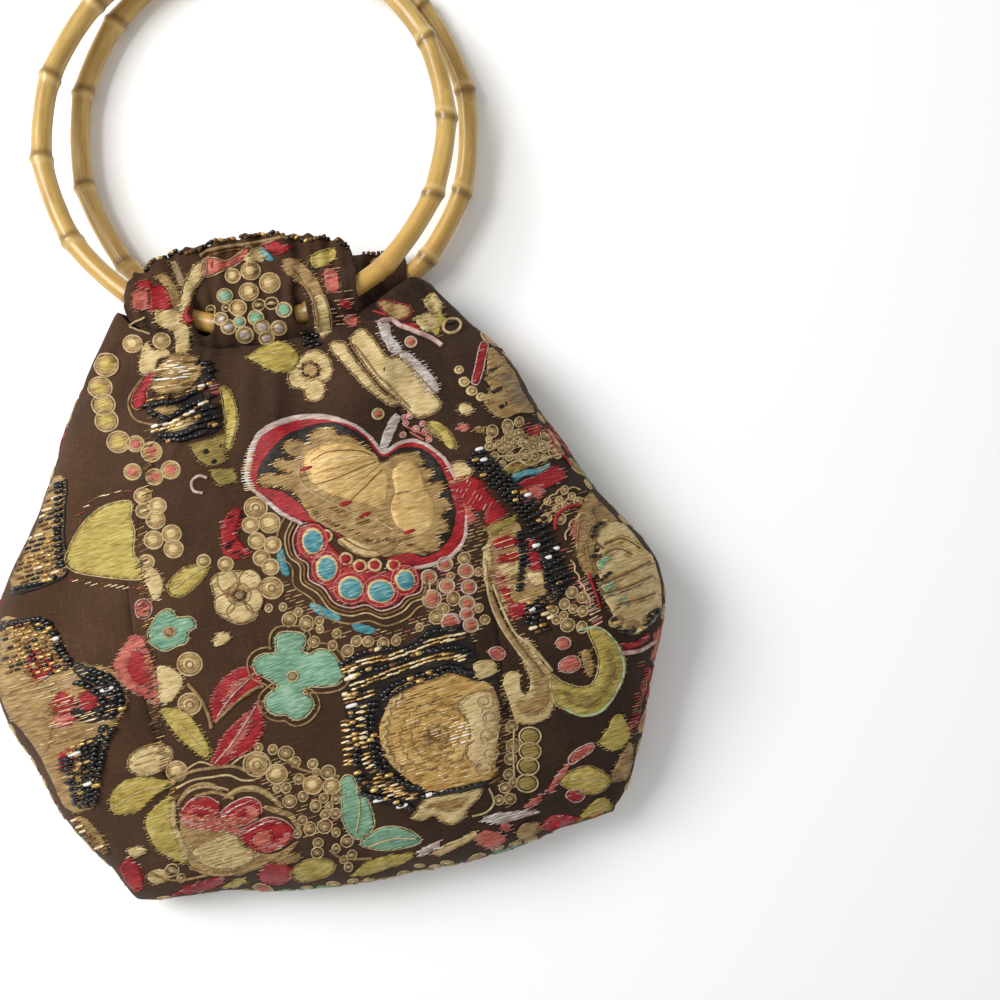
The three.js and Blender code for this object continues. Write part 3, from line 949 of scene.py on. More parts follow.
def layLace(outline, tries, sizes=(4.0, 8.0), finish="creamCord", core="tanCord", wide=0.62):
    loop = [tuple(p) for p in smoothLine(outline)]
    across, down = [p[0] for p in loop], [p[1] for p in loop]
    kept = []
    for _ in range(tries):
        x, y = laceDraws.uniform(min(across), max(across)), laceDraws.uniform(min(down), max(down))
        r = laceDraws.uniform(*sizes)
        if not inside(loop, x, y) or crowded(x, y, r, kept, laceSet["apart"]):
            continue
        if any(heightAt(px, py) > laceSet["clear"] for px, py in ellipse(x, y, r, r, 0, 6) + [(x, y)]):
            continue
        kept.append((x, y, r))
        ring = ellipse(x, y, r, r * laceSet["round"], laceDraws.uniform(0, 90), 10)
        layCord(finish, ring, wide, True, 0.2, fromAbove, False)
        layDot(core, x, y, r * laceSet["core"])
        layDot(finish, x, y, r * laceSet["eye"], 0.5)


def layScallops(points, finish="creamCord", deep=4.0, pitch=9.0, wide=0.65):
    line = smoothLine(points, False, 1.6)
    run = 0.0
    path = []
    for k, p in enumerate(line):
        run += (p - line[k - 1]).length if k else 0.0
        path.append(tuple(p + sideways(line, k) * deep * abs(math.sin(math.pi * run / pitch))))
    layCord(finish, path, wide, False, 0.3, fromAbove, False)


def layFlower(finish, x, y, petals, spread, size, middle, turn=0, project=fromAbove, high=0.45):
    for k in range(petals):
        a = math.radians(turn) + 2 * math.pi * k / petals
        petal = ellipse(
            x + spread * math.cos(a), y + spread * math.sin(a), size, size * 0.82, -math.degrees(a), 12
        )
        layPatch(finish, petal, high, 1.2, None, project)
        frayEdge(finish, petal, project)
    layPatch(middle, ellipse(x, y, size * 0.55, size * 0.55, 0, 10), high * 1.7, 1.0, None, project)


goldMix = {"goldBead": 4, "bronzeBead": 3, "paleBead": 4}
darkMix = {"blackBead": 8, "bronzeBead": 1, "paleBead": 0.7, "goldBead": 1}
rowMix = {"blackBead": 5, "goldBead": 2, "paleBead": 1, "bronzeBead": 1}
# the few white beads in this mix stand for painted glints on the black beads
blackMix = {"blackBead": 14, "whiteBead": 0.5, "goldBead": 1}
tanMix = {"goldBead": 3, "bronzeBead": 3, "paleBead": 2}

# Patches on the front: finish, outline in picture points, height in mm, cord round the edge if any
patchMarks = (
    ("coral", "202,270 205,260 214,259 227,262 240,254 249,247 249,252 238,263 226,268 211,275 203,275", 0.6,
     "creamCord"),
    ("cream", "250,248 257,247 265,259 259,261 247,262 244,259", 0.3),
    ("blue", "258,247 264,248 274,259 273,261 265,260", 0.4),
    ("red", "263,245 272,240 281,244 289,246 286,252 278,254 269,251", 0.4),
    ("tan", "285,259 297,260 310,270 320,283 324,297 320,305 313,303 304,287 292,278 284,270", 0.45),
    ("cream", "317,294 324,297 329,313 330,329 323,337 318,332 316,319 314,303", 0.5, "tanCord"),
    ("lime", "310,260 316,252 334,248 336,257 326,265 316,268", 0.35),
    ("coral", "135,292 147,290 147,308 134,308", 0.5),
    ("red", "138,284 141,281 150,282 152,286 150,290 140,290", 0.55),
    ("red", "151,288 162,286 168,294 171,308 150,310 151,299", 0.5),
    ("stone", "170,262 175,261 186,282 180,286 176,276", 0.45),
    ("tan", "157,276 166,275 176,286 180,299 179,309 171,305 168,292 162,283", 0.45),
    ("cream", "204,262 197,265 190,274 185,284 183,294 180,305 178,311 183,312 188,305 192,294 196,286 "
     "203,276 205,268", 0.6, "tanCord"),
    ("cream", "173,310 156,311 155,318 159,325 173,331 176,341 177,354 189,351 190,332 184,322 183,308", 0.5),
    ("cream", "143,347 140,363 141,373 154,372 158,360 170,354 166,349 154,351 149,343", 0.4),
    ("cream", "424,300 434,293 442,303 440,312 430,312", 0.55),
    ("cream", "416,318 430,314 438,324 430,332 420,328", 0.55),
    ("red", "185,311 190,307 195,311 194,320 188,324 183,321", 0.8),
    ("red", "155,373 154,383 146,391 146,402 138,409 133,404 135,394 141,386 147,375", 0.5, "tanCord"),
    ("tan", "154,381 157,370 167,361 176,356 192,356 200,362 202,373 195,383 189,389 179,393 163,394 152,389",
     1),
    ("dark", "200,366 210,363 212,372 209,383 200,389 187,396 170,403 151,405 145,410 157,421 165,428 "
     "160,436 165,441 189,440 208,436 220,428 221,405 213,404 205,397 200,383", 0.35),
    ("tan", "158,409 173,406 179,410 165,415", 0.7),
    ("cream", "167,428 179,423 194,417 195,421 184,428 170,432", 0.7),
    ("lime", "222,388 229,391 235,404 237,418 235,432 229,449 224,447 227,434 226,418 224,404", 0.5,
     "tanCord"),
    ("olive", "212,471 233,470 236,481 219,484", 0.35),
    ("olive", "192,446 211,439 226,436 224,453 227,460 214,466 202,462 194,453", 0.4),
    ("lime", "248,357 262,348 273,342 289,344 297,353 299,362 291,370 280,372 267,369 256,362", 0.5),
    ("cream", "296,366 304,356 316,351 328,358 332,370 328,380 321,382 325,389 320,399 308,399 304,389 "
     "292,386 289,375", 0.45, "tanCord"),
    ("tan", "300,370 304,363 313,361 320,366 321,373 316,379 308,380 302,377", 0.65),
    ("cream", "352,338 361,330 370,336 386,357 400,359 419,379 440,405 421,417 407,408 378,380 356,351", 0.55,
     "tanCord"),
    ("silver", "399,353 407,352 426,368 439,386 435,394 426,392 419,379 405,362", 0.6),
    ("cream", "333,343 344,343 348,351 365,373 383,394 399,402 391,405 368,388 349,368 332,349", 0.45,
     "tanCord"),
    ("silver", "378,321 389,324 392,336 402,349 397,354 391,352 381,336", 0.5),
    ("red", "401,325 407,323 414,324 420,330 408,330", 0.45),
    ("tan", "379,303 386,301 397,304 410,308 408,316 397,319 386,312", 0.4, "redCord"),
    ("tan", "489,349 498,350 509,361 520,369 512,372 500,366 492,368 487,372", 0.45),
    ("coral", "325,270 337,272 338,290 327,290", 0.4),
    ("red", "341,300 351,301 350,308 341,307", 0.4),
    ("coral", "346,315 357,317 356,325 347,324", 0.4),
    ("lime", "415,319 432,312 426,300 434,293 440,303 442,314 448,322 440,327 439,335 432,333 426,325", 0.45),
    ("red", "483,343 487,345 484,359 482,370 477,384 473,383 477,365 480,350", 0.45, "pinkCord"),
    ("tan", "486,380 491,372 502,367 510,367 521,373 528,389 536,408 534,413 518,413 507,418 496,416 488,408 "
     "483,399 491,389", 0.5),
    ("stone", "491,379 497,375 507,375 518,386 526,402 518,408 509,400 505,389 499,384", 0.7),
    ("dark", "490,392 502,386 503,389 493,395", 0.8),
    ("dark", "497,407 507,401 507,405 501,410", 0.8),
    ("dark", "488,371 497,367 497,370 491,373", 0.8),
    ("cream", "458,409 462,404 470,405 473,409 469,414 462,414", 0.4),
    ("coral", "458,428 462,424 469,426 469,430 463,432", 0.3),
    ("tan", "473,430 478,427 485,428 485,432 478,433", 0.4),
    ("red", "527,430 531,426 541,426 539,435 531,435", 0.45),
    ("olive", "426,424 440,426 451,435 456,448 448,443 440,437 432,434", 0.4, "tanCord"),
    ("olive", "504,470 512,465 526,463 539,460 536,465 526,468 513,473 505,474", 0.5),
    ("blue", "509,479 515,473 526,470 539,468 550,463 549,468 536,475 525,476 515,482", 0.5),
    ("red", "518,484 529,478 539,475 550,468 558,467 565,476 555,484 544,490 534,509 526,506 521,494", 0.5),
    ("coral", "523,494 531,487 540,487 542,493 534,503 527,503", 0.7),
    ("red", "451,484 466,476 480,481 490,495 501,506 506,514 493,524 485,522 487,510 472,510 456,497", 0.45),
    ("coral", "450,495 458,498 470,509 477,519 469,524 464,532 464,516 454,506", 0.4),
    ("cream", "448,467 461,462 472,468 469,476 454,482 448,479", 0.4, "tanCord"),
    ("olive", "486,530 494,522 509,519 515,516 513,522 504,528 493,535", 0.4),
    ("dark", "519,530 539,528 553,541 556,563 568,568 572,578 561,589 545,589 542,568 526,568 520,560", 0.4),
    ("red", "493,544 497,538 510,537 517,539 517,544 509,548 496,549", 0.5),
    ("red", "496,556 504,553 519,552 518,560 507,562 497,562", 0.5),
    ("red", "529,540 539,539 540,546 530,548", 0.8),
    ("red", "530,553 540,552 541,560 531,562", 0.8),
    ("red", "531,565 540,564 542,570 532,571", 0.8),
    ("cream", "495,568 507,564 521,564 521,571 510,577 497,575", 0.5),
    ("cream", "528,575 537,572 543,575 544,583 536,586 529,581", 0.8),
    ("red", "493,575 501,573 506,576 504,581 495,580", 0.5),
    ("red", "501,586 509,589 513,602 526,605 523,615 512,618 505,600", 0.5),
    ("cream", "484,548 489,544 491,560 489,579 493,589 486,586 483,567", 0.4),
    ("tan", "580,522 588,526 584,541 587,560 595,573 588,573 580,559 578,541", 0.5, "tanCord"),
    ("coral", "572,535 572,526 580,521 580,530 576,541", 0.45),
    ("cream", "595,532 599,524 615,522 639,532 655,552 662,579 661,608 647,618 646,626 635,634 620,629 "
     "614,616 606,602 600,589 600,578 595,568 597,556 599,549 595,543", 0.6),
    ("tan", "575,522 580,508 590,493 604,496 619,517 604,525 595,537 595,561 590,578 580,561 575,542", 0.4),
    ("teal", "598,562 603,556 609,559 604,565 599,570", 0.8),
    ("teal", "603,587 609,581 614,586 611,594 604,592", 0.8),
    ("teal", "617,600 625,596 628,600 622,605", 0.8),
    ("dark", "644,614 658,607 660,613 646,622", 0.85),
    ("red", "620,643 633,643 647,634 650,636 638,646 625,648", 0.5),
    ("cream", "514,640 530,640 541,661 552,674 556,693 554,704 548,717 532,723 516,721 509,700 503,684 "
     "507,673 514,671 520,674 520,681 522,693 528,693 530,678 522,659", 0.4),
    ("tan", "519,643 527,645 538,664 548,678 550,693 548,704 541,712 530,715 520,712 516,701 522,700 532,699 "
     "534,680 526,662", 0.6),
    ("lime", "551,676 563,683 581,688 594,683 600,664 597,650 589,630 600,629 616,644 624,664 619,685 "
     "603,709 583,715 563,707 555,701", 0.45, "creamCord"),
    ("olive", "563,691 581,696 597,691 608,670 605,650 611,650 616,666 611,683 597,702 581,707 567,701",
     0.65),
    ("tan", "581,653 589,650 593,670 589,676 585,670", 0.35),
    ("coral", "557,642 563,638 569,641 568,646 561,648", 0.5, "pinkCord"),
    ("coral", "560,664 568,658 577,658 579,666 571,671 562,670", 0.5, "pinkCord"),
    ("coral", "490,651 498,648 504,652 502,658 495,658", 0.45, "pinkCord"),
    ("lime", "599,742 608,729 613,718 621,714 629,728 629,737 621,747 613,750 603,746", 0.4),
    ("tan", "630,742 634,755 632,774 622,780 611,779 618,761", 0.35),
    ("lime", "561,782 573,771 589,767 603,773 610,780 597,792 579,791", 0.45, "tanCord"),
    ("red", "567,795 573,790 581,791 583,797 575,801", 0.5, "pinkCord"),
    ("lime", "580,819 591,804 603,797 611,804 610,811 594,819", 0.4),
    ("red", "540,826 554,815 573,816 592,818 604,812 600,820 583,824 563,827 548,829", 0.4),
    ("lime", "354,874 368,862 388,856 412,854 404,862 386,868 368,874", 0.35),
    ("cream", "432,853 446,844 462,838 476,832 474,838 458,846 442,854", 0.35),
    ("silver", "418,852 428,846 440,841 440,846 430,851 420,856", 0.35),
    ("tan", "517,831 525,823 538,823 541,828 530,836 519,838", 0.35),
    ("silver", "482,820 490,815 516,811 538,811 522,817 497,823", 0.4),
    ("coral", "476,839 485,831 500,833 505,839 495,846 482,845", 0.35),
    ("coral", "501,823 508,822 512,825 509,830 503,829", 0.35),
    ("coral", "525,806 535,798 543,794 541,799 532,807", 0.35),
    ("coral", "570,758 578,750 592,744 591,750 579,758 571,763", 0.4, "pinkCord"),
    ("coral", "548,791 556,776 568,764 567,771 557,783 552,793", 0.35),
    ("gold", "394,689 413,680 442,672 462,675 473,680 489,683 497,696 499,712 498,736 496,759 493,775 "
     "473,784 442,790 419,787 402,774 389,763 381,748 379,731 383,715 389,702", 1),
    ("cream", "458,705 470,694 489,691 497,705 497,728 495,753 489,767 473,761 466,751 470,739 469,721", 1.4,
     "tanCord"),
    ("tan", "421,736 426,726 437,723 447,728 450,736 445,745 434,748 424,744", 1.5),
    ("cream", "473,664 483,660 494,661 497,670 489,677 477,678", 0.5),
    ("cream", "413,817 417,812 426,798 451,795 480,788 477,798 467,808 464,816 453,823 442,820 434,814 "
     "422,819", 0.5, "tanCord"),
    ("tan", "427,806 432,801 454,799 467,797 461,806 448,810 437,807", 0.75),
    ("teal", "343,779 352,777 357,788 367,801 373,818 372,828 360,838 351,833 344,820 343,804", 0.45,
     "creamCord"),
    ("teal", "362,844 370,835 384,828 400,828 413,833 420,841 407,846 384,849", 0.45, "creamCord"),
    ("coral", "442,621 450,615 458,617 458,624 449,627", 0.45, "pinkCord"),
    ("teal", "150,631 159,615 170,610 177,618 191,618 195,626 188,632 186,642 177,645 166,650 158,647 "
     "150,640", 0.5, "creamCord"),
    ("coral", "166,631 169,627 174,628 175,633 170,635", 0.7),
    ("teal", "277,638 283,633 301,634 305,642 301,650 309,655 320,650 331,653 338,662 343,675 338,683 "
     "323,686 309,686 301,694 309,696 313,705 306,715 296,719 287,714 277,714 268,709 266,699 274,691 "
     "280,686 268,678 257,672 255,661 263,655 276,653", 0.5, "creamCord"),
    ("red", "212,702 215,691 225,678 236,670 250,667 261,680 258,686 250,693 236,701 225,709 215,721 213,712",
     0.5),
    ("coral", "225,701 229,689 239,680 252,675 242,683 234,694", 0.75),
    ("red", "213,761 217,750 226,733 239,720 252,710 260,701 263,725 260,737 250,749 236,757 220,765", 0.5),
    ("coral", "225,755 231,743 240,729 247,713 252,712 250,726 240,742 231,755", 0.75),
    ("cream", "158,667 169,667 182,677 180,690 170,702 161,702 158,686", 0.4),
    ("lime", "162,710 173,708 186,712 194,721 204,736 210,753 207,758 193,749 178,736 170,725", 0.45),
    ("cream", "213,641 218,634 229,633 231,638 223,645 216,645", 0.4),
    ("tan", "182,814 196,818 220,818 240,826 246,849 264,856 262,866 238,874 208,873 190,864 182,846", 0.25),
    ("coral", "186,818 200,822 220,818 236,824 242,834 226,831 206,830 188,826", 0.4),
    ("red", "182,811 191,801 210,798 220,806 218,814 207,820 193,822 185,819", 0.45),
    ("red", "220,814 232,804 248,798 258,801 261,812 252,822 236,825 223,825", 0.5),
    ("red", "239,832 252,825 268,818 283,822 292,828 289,839 277,847 261,851 248,844", 0.55),
    ("coral", "184,818 191,808 199,806 212,808 218,813 208,821 193,824", 0.6),
    ("red", "193,813 200,807 209,808 210,814 201,817", 0.75),
    ("coral", "222,824 234,813 244,807 255,806 259,813 250,822 236,826", 0.7),
    ("red", "234,815 241,808 249,809 247,814 240,818", 0.85),
    ("coral", "264,846 276,842 288,832 291,838 280,847 266,852", 0.7),
    ("red", "262,866 274,862 288,866 292,876 286,882 270,884 260,878", 0.35),
    ("lime", "292,872 304,862 322,859 334,864 330,873 312,879 298,880", 0.35, "tanCord"),
    ("tan", "268,860 284,855 300,854 298,860 282,864", 0.35),
    ("cream", "172,797 176,803 176,822 183,838 190,858 185,858 177,838 171,820", 0.6),
    ("coral", "252,839 258,831 269,831 272,839 264,846 255,845", 0.75, "redCord"),
    ("lime", "164,800 172,796 174,808 172,823 178,836 186,861 177,860 159,850 150,836 146,823 151,811", 0.5),
    ("cream", "215,839 226,834 236,836 242,846 252,850 250,861 229,868 207,865 193,854 201,844", 0.45,
     "tanCord"),
    ("lime", "67,563 70,549 78,533 89,519 105,507 124,502 131,504 130,518 134,533 133,552 140,566 141,578 "
     "105,576 77,571", 0.35, "creamCord"),
    ("cream", "145,571 156,569 163,582 161,595 155,601 148,588", 0.4),
    ("lime", "169,585 183,570 201,565 208,568 199,582 183,595 172,594", 0.45, "tanCord"),
    ("coral", "137,604 145,600 151,606 148,616 139,616", 0.35, "pinkCord"),
    ("coral", "132,636 142,638 150,655 155,672 158,688 158,703 143,696 124,686 115,670 116,659", 0.35),
    ("red", "134,649 142,652 149,671 151,686 142,687 132,678 128,667", 0.6),
    ("red", "223,522 230,512 239,509 239,521 236,533 239,544 250,552 246,558 230,552 222,541", 0.4),
    ("cream", "212,582 220,574 234,572 250,574 260,582 258,601 255,617 242,623 230,620 218,611 217,598", 0.5,
     "tanCord"),
    ("tan", "226,592 231,585 241,587 244,596 238,603 230,600", 0.75),
    ("tan", "54,478 64,480 61,533 65,569 54,578 10,586 15,563 30,533 40,505 48,488", 0.4),
    ("dark", "63,480 68,480 65,533 69,569 57,582 18,595 13,590 53,578 63,568 60,533", 0.45),
    ("tan", "0,623 26,620 46,619 48,623 64,647 69,662 89,665 115,671 126,692 126,706 112,730 102,756 99,780 "
     "94,804 80,812 67,807 57,789 46,764 32,741 16,722 0,703", 0.35),
    ("dark", "69,663 92,667 115,677 125,695 124,709 108,720 87,723 70,714 76,700 90,690 78,677", 0.5),
    ("dark", "80,745 96,736 102,745 98,800 88,808 77,806 82,780", 0.5),
    ("dark", "0,622 24,618 46,618 58,634 70,660 60,660 46,640 30,630 8,634 0,636", 0.5),
    ("tan", "0,633 32,628 53,639 61,651 48,655 21,654 0,659", 0.6),
    ("tan", "0,660 19,659 24,671 41,681 53,692 54,711 53,730 48,751 38,743 21,726 0,702", 0.7),
    ("red", "29,652 41,649 54,659 53,671 40,681 30,671", 0.8),
    ("red", "53,703 61,692 73,698 75,708 64,714 54,711", 0.8),
    ("red", "80,698 88,692 99,694 97,703 89,711 80,706", 0.8),
    ("coral", "51,719 61,714 75,716 73,724 57,726", 0.8),
    ("red", "61,754 69,749 77,752 73,762 69,768 61,770 59,762", 0.8),
    ("cream", "129,762 136,752 150,746 163,745 172,751 169,762 159,770 143,775 132,770", 0.4, "tanCord"),
    ("lime", "110,799 118,786 134,778 150,778 175,783 159,792 148,802 137,811 115,813", 0.45),
    ("red", "121,866 128,859 137,864 143,880 140,890 131,886 123,875", 0.35),
    ("red", "174,895 188,886 206,881 223,876 222,883 204,890 180,898", 0.35),
    ("lime", "223,888 231,882 244,878 246,885 233,890", 0.35),
    ("tan", "75,819 85,818 102,837 108,850 102,851 89,837", 0.35),
    ("cream", "128,850 137,847 147,850 140,856 131,856", 0.35),
    ("cream", "148,874 159,869 169,874 163,882 151,882", 0.35),
)
frontPatches = [
    (finish, chalk(marks), high, cord[0] if cord else None) for finish, marks, high, *cord in patchMarks
]
edgeSet = {"away": 1.3, "wide": 0.55}
for finish, outline, high, edge in frontPatches:
    layPatch(finish, outline, high)
for finish, outline, high, edge in frontPatches:
    if edge:
        layCord(edge, grown(outline, edgeSet["away"]), edgeSet["wide"], True, 0.35, fromAbove, False)
for finish, outline, high, edge in frontPatches:
    frayEdge(finish, outline)
print("front patches laid:", len(frontPatches))

# Pale ground stitching under the laced areas
groundwork = (
    "539,505 556,493 575,486 590,491 587,505 575,513 556,522 551,532 541,522",
    "565,532 575,513 592,513 588,532 578,542 575,566 590,585 604,614 599,627 580,624 565,614 563,593 565,571 "
    "556,551",
    "468,522 488,522 488,537 476,551 454,556 435,566 420,574 420,566 444,552 461,542",
    "422,570 470,553 486,570 486,600 484,640 462,640 446,632 428,616",
    "278,560 288,566 300,592 324,610 352,622 384,628 412,616 430,594 446,600 440,620 412,638 384,648 352,648 "
    "318,636 292,620 280,596",
    "240,752 276,756 304,770 344,776 348,800 340,830 304,838 286,810 262,790",
    "494,724 515,724 517,800 494,806 497,770",
    "488,440 522,425 541,423 556,447 565,454 536,471 507,474 495,454",
    "500,590 520,604 526,640 508,640 494,610",
)
groundMix = {"tanCord": 4, "creamCord": 3, "coralCord": 1}
layPatch("tan", chalk("490,532 517,522 524,537 540,560 560,590 548,604 519,604 510,616 498,593 488,571"),
         0.15, 1.0)
for marks in groundwork:
    layField(chalk(marks), groundMix, 3.3, (6, 13), 0.5, fill=0.62)
print("groundwork laid:", len(groundwork))

# Heart-shaped paisley
heart = {
    "edge": chalk("245,472 249,453 260,434 281,421 310,416 338,420 361,430 375,445 383,454 396,445 412,440 "
                  "431,446 447,462 457,484 466,515 464,536 453,553 434,562 416,566 395,562 366,553 342,540 "
                  "326,525 308,522 300,520 283,512 267,498 251,489"),
    "ground": chalk("259,487 257,476 260,465 270,451 284,436 303,428 329,422 348,427 366,438 378,454 387,456 "
                    "399,448 421,448 436,459 445,473 453,496 456,512 453,532 442,548 424,558 409,553 386,559 "
                    "374,553 342,537 319,524 308,515 297,502 278,491"),
    "field": chalk("264,487 260,480 267,474 283,475 292,472 278,470 272,465 278,460 294,460 302,459 289,455 "
                   "283,446 287,441 300,442 311,445 310,437 319,430 334,430 340,437 351,437 366,448 378,461 "
                   "387,461 391,457 402,455 416,453 424,461 421,469 431,469 433,476 427,484 442,483 445,489 "
                   "437,497 448,500 452,508 442,516 448,523 448,531 436,535 442,540 437,550 426,553 418,547 "
                   "402,544 383,539 370,542 354,532 332,524 322,518 313,510 302,502 295,494 283,488"),
    "lobe": chalk("306,456 326,445 351,443 373,453 380,464 389,480 383,508 367,505 342,499 319,489 308,476"),
    "second": chalk("392,472 404,462 417,466 426,488 434,506 432,528 414,536 396,526 390,508 394,490"),
    "under": chalk("299,490 330,499 372,522 408,540 424,544 426,556 409,553 386,558 374,552 342,536 320,524 "
                   "308,514"),
    "sweeps": (chalk("310,455 323,447 335,444 350,446 369,454"),
               chalk("312,462 326,454 341,451 356,451 372,456"),
               chalk("313,467 326,461 340,459 356,456 373,457"), chalk("316,474 332,469 350,464 375,459"),
               chalk("316,485 335,479 353,471 376,462"), chalk("315,491 335,485 353,475 378,464"),
               chalk("332,497 350,488 365,477 379,466"), chalk("350,501 364,488 382,470")),
    "crescents": (chalk("338,540 353,552 372,557 393,549 400,539"),
                  chalk("344,539 358,547 372,550 387,545 395,538"), chalk("353,538 364,543 375,543 386,539")),
    "hub": (360, 556),
    "fan": chalk("302,526 296,540 300,556 311,564 312,578 326,586 336,600 352,605 366,602 380,608 396,603 "
                 "404,595 418,590 420,574 408,566 380,572 350,562 332,546 318,530"),
    "cells": [(313, 541, 10, 12), (327, 568, 10, 12), (351, 588, 12, 11), (381, 591, 13, 11),
              (405, 580, 9, 10)],
    "dots": chalk("326,536 346,559 360,566 375,565 394,565"),
    "cord": chalk("251,489 247,476 249,464 252,449 260,435 275,425 294,419 313,417 329,418 345,422 358,428 "
                  "369,437 377,446 384,453 391,449 399,444 413,441 426,445 439,454 448,464 455,478"),
}
layPatch("red", heart["edge"], 0.5)
layPatch("dark", heart["ground"], 0.7)
layPatch("tan", heart["under"], 0.9)
layPatch("tan", heart["field"], 1.1)
layRow(heart["field"] + heart["field"][:1], edgeThreads["gold"], 3.2, 8, 0.4)
# the two lobes are paler partly by their own thread and partly as painted highlight
layPatch("paleGoldAndPaintedHighlight", heart["lobe"], 1.3)
layPatch("paleGoldAndPaintedHighlight", heart["second"], 1.3)
for k, points in enumerate(heart["sweeps"]):  # couched lines fan out over the left lobe
    layCord(("goldBead", "bronzeBead", "paleBead")[k % 3], points, 0.34, False, 0.5)
layField(heart["second"], {"paleBead": 4, "goldBead": 2, "bronzeBead": 3}, 3.0, (16, 34), 0.36, 12, fill=0.85)
layCord("creamCord", chalk("301,466 301,479 311,491 330,502 352,512 376,521 394,530"), 0.6, False, 0.4)
layField(chalk("308,500 330,500 366,512 390,520 396,538 372,538 334,522"), goldMix, 3.0, (6, 14), 0.36,
         fill=0.5)
for points, wide in ((heart["cord"][:10], 6.5), (heart["cord"][8:], 4.5), (chalk("466,515 465,537 453,554 "
        "434,564 414,568"), 4.5), (chalk("249,486 266,500 283,514 303,524"), 4.5)):
    layPatch("lilac", ribbon(points, wide, 0.7), 0.6, 0.8)
layRow(chalk("251,490 247,476 249,462 253,447"), {"whiteBead": 1, "paleBead": 2}, 2.6, 12, 0.45, 6)
layPatch("red", heart["fan"], 0.4)
layField(grown(heart["fan"], 4), {"pinkCord": 3, "coralCord": 3, "redCord": 2}, 2.8, (6, 11), 0.42, 20,
         fill=0.7)


def fanRim(by):  # the outer edge of the fan, moved out
    x0, y0 = heart["hub"]
    rim = []
    for x, y in heart["fan"][:14]:
        share = 1 + by / math.hypot(x - x0, y - y0)
        rim.append((x0 + (x - x0) * share, y0 + (y - y0) * share))
    return rim


for finish, by, wide in (("pinkCord", 3, 0.7), ("bronzeBead", 7, 1.1), ("creamCord", 11, 0.7),
                         ("tanCord", 19, 0.8)):
    layCord(finish, fanRim(by), wide, False, 0.3)
for x, y, long, wide in heart["cells"]:
    layPatch("red", ellipse(x, y, long + 6, wide + 6), 0.5)
    layCord("coralCord", ellipse(x, y, long + 4.5, wide + 4.5), 0.5, True, 0.3)
for x, y, long, wide in heart["cells"]:
    layPatch("cream", ellipse(x, y, long + 1.5, wide + 1.5), 0.78)
    layPatch("blue", ellipse(x + 0.5, y + 0.5, long, wide), 0.9)
for x, y in heart["dots"]:
    layPatch("cream", ellipse(x, y, 7.5, 7), 0.5)
    layPatch("red", ellipse(x, y, 5.5, 5), 0.7)
layPatch("cream", heart["crescents"][0] + chalk("386,534 364,535"), 0.85)
for points in heart["crescents"]:
    layCord("tanCord", points, 0.7, False, 0.3)
for points in map(chalk, ("281,548 282,562 288,576", "310,604 326,613 341,619", "352,624 364,629 376,631")):
    layPatch("blue", ribbon(points, 9), 0.4)
layPatch("silver", ribbon(chalk("382,450 387,438 392,426 398,415"), 10, 0.7), 0.5)
layPatch("lime", ribbon(chalk("429,423 441,429 452,449"), 9), 0.45)
layPatch("red", chalk("222,548 230,538 242,543 246,555 236,560 226,557"), 0.35)
layPatch("red", chalk("224,526 232,510 240,508 240,520 232,530"), 0.35)
layRow(chalk("224,528 234,512 242,520 236,536 228,548 244,556"),
       {"redCord": 2, "coralCord": 1, "blackBead": 1}, 4, 9, 0.6)
for x, y in ((308, 469), (345, 504), (365, 515), (410, 532)):
    layPatch("red", ellipse(x, y, 7, 2.6, 17), 1.65)
    layBead("bronzeBead", x - 2, y + 7, 16, 0.5)
print("heart laid")

# Beaded medallion low on the front
medallion = {
    "bed": chalk("340,668 352,659 386,650 416,638 426,628 446,624 462,628 474,642 478,660 498,680 500,720 "
                 "498,760 490,782 470,791 440,796 418,806 398,808 376,802 362,788 352,764 347,740 345,716 "
                 "344,690"),
    "field": chalk("394,689 413,680 442,672 462,675 466,690 458,704 464,722 466,746 470,764 474,780 442,789 "
                   "418,786 400,773 388,762 380,748 380,730 384,712"),
    "black": (
        "344,662 360,654 378,649 392,648",
        "349,678 368,669 383,667 402,661 419,653 434,649",
        "407,648 419,643 429,632 442,630 456,626",
        "432,651 445,648 458,646 470,653",
        "383,694 394,685 410,678 429,672 448,666 462,669 472,672",
        "385,699 398,690 414,682 432,676 450,670 466,673",
        "346,694 360,691",
        "371,704 368,715 367,726 370,739 375,751 378,766 394,777 408,783 419,787",
        "376,703 373,715 373,727 376,740 382,752 388,764",
        "351,712 354,728 357,743 357,758 358,771 365,782 378,790",
        "362,793 376,796 391,799 410,807",
        "424,795 442,790 458,787 480,782",
    ),
    "gold": (
        "346,670 366,661 392,656 414,648 436,640 462,636",
        "354,686 383,675 413,664 442,656 462,658",
        "348,700 371,692",
        "362,706 361,718 362,732 363,747 368,761 383,779 402,790",
        "346,720 348,742 350,764",
        "372,782 392,792 414,796",
    ),
    "white": ((354, 675), (352, 705), (379, 799), (402, 805)),
}
layPatch("dark", medallion["bed"], 0.35)
for points in map(chalk, medallion["gold"]):
    layBand(points, goldMix, 2, 4.0, 5.0, 9, 0.9)
for points in map(chalk, medallion["black"]):
    layRow(points, rowMix if points[0][0] < 352 else blackMix, 5.6, 8.2, 1.75, None, 0.8)
for x, y in medallion["white"]:
    layBead("whiteBead", x, y, 13, 1.6)
layField(medallion["field"], {"goldBead": 4, "paleBead": 3, "bronzeBead": 3}, 2.8, (6, 15), 0.45, fill=0.75)
layScallops(chalk("400,690 388,706 383,724 383,744 390,760 402,772"), "creamCord", 4.5, 10, 1.1)
for r in (22, 33):
    layScallops(ellipse(435, 735, r, r * 0.95, 10, 24) + [(435 + r, 735)], "tanCord", 3.0, 8, 0.42)
layPatch("gold", ellipse(434, 736, 14, 13), 1.5)
# painted highlight: white and pale beads right of the disc stand for glints
layField(chalk("450,722 472,718 474,740 452,746"), {"whiteBead": 3, "paleBead": 3}, 3.0, (6, 13), 0.6)
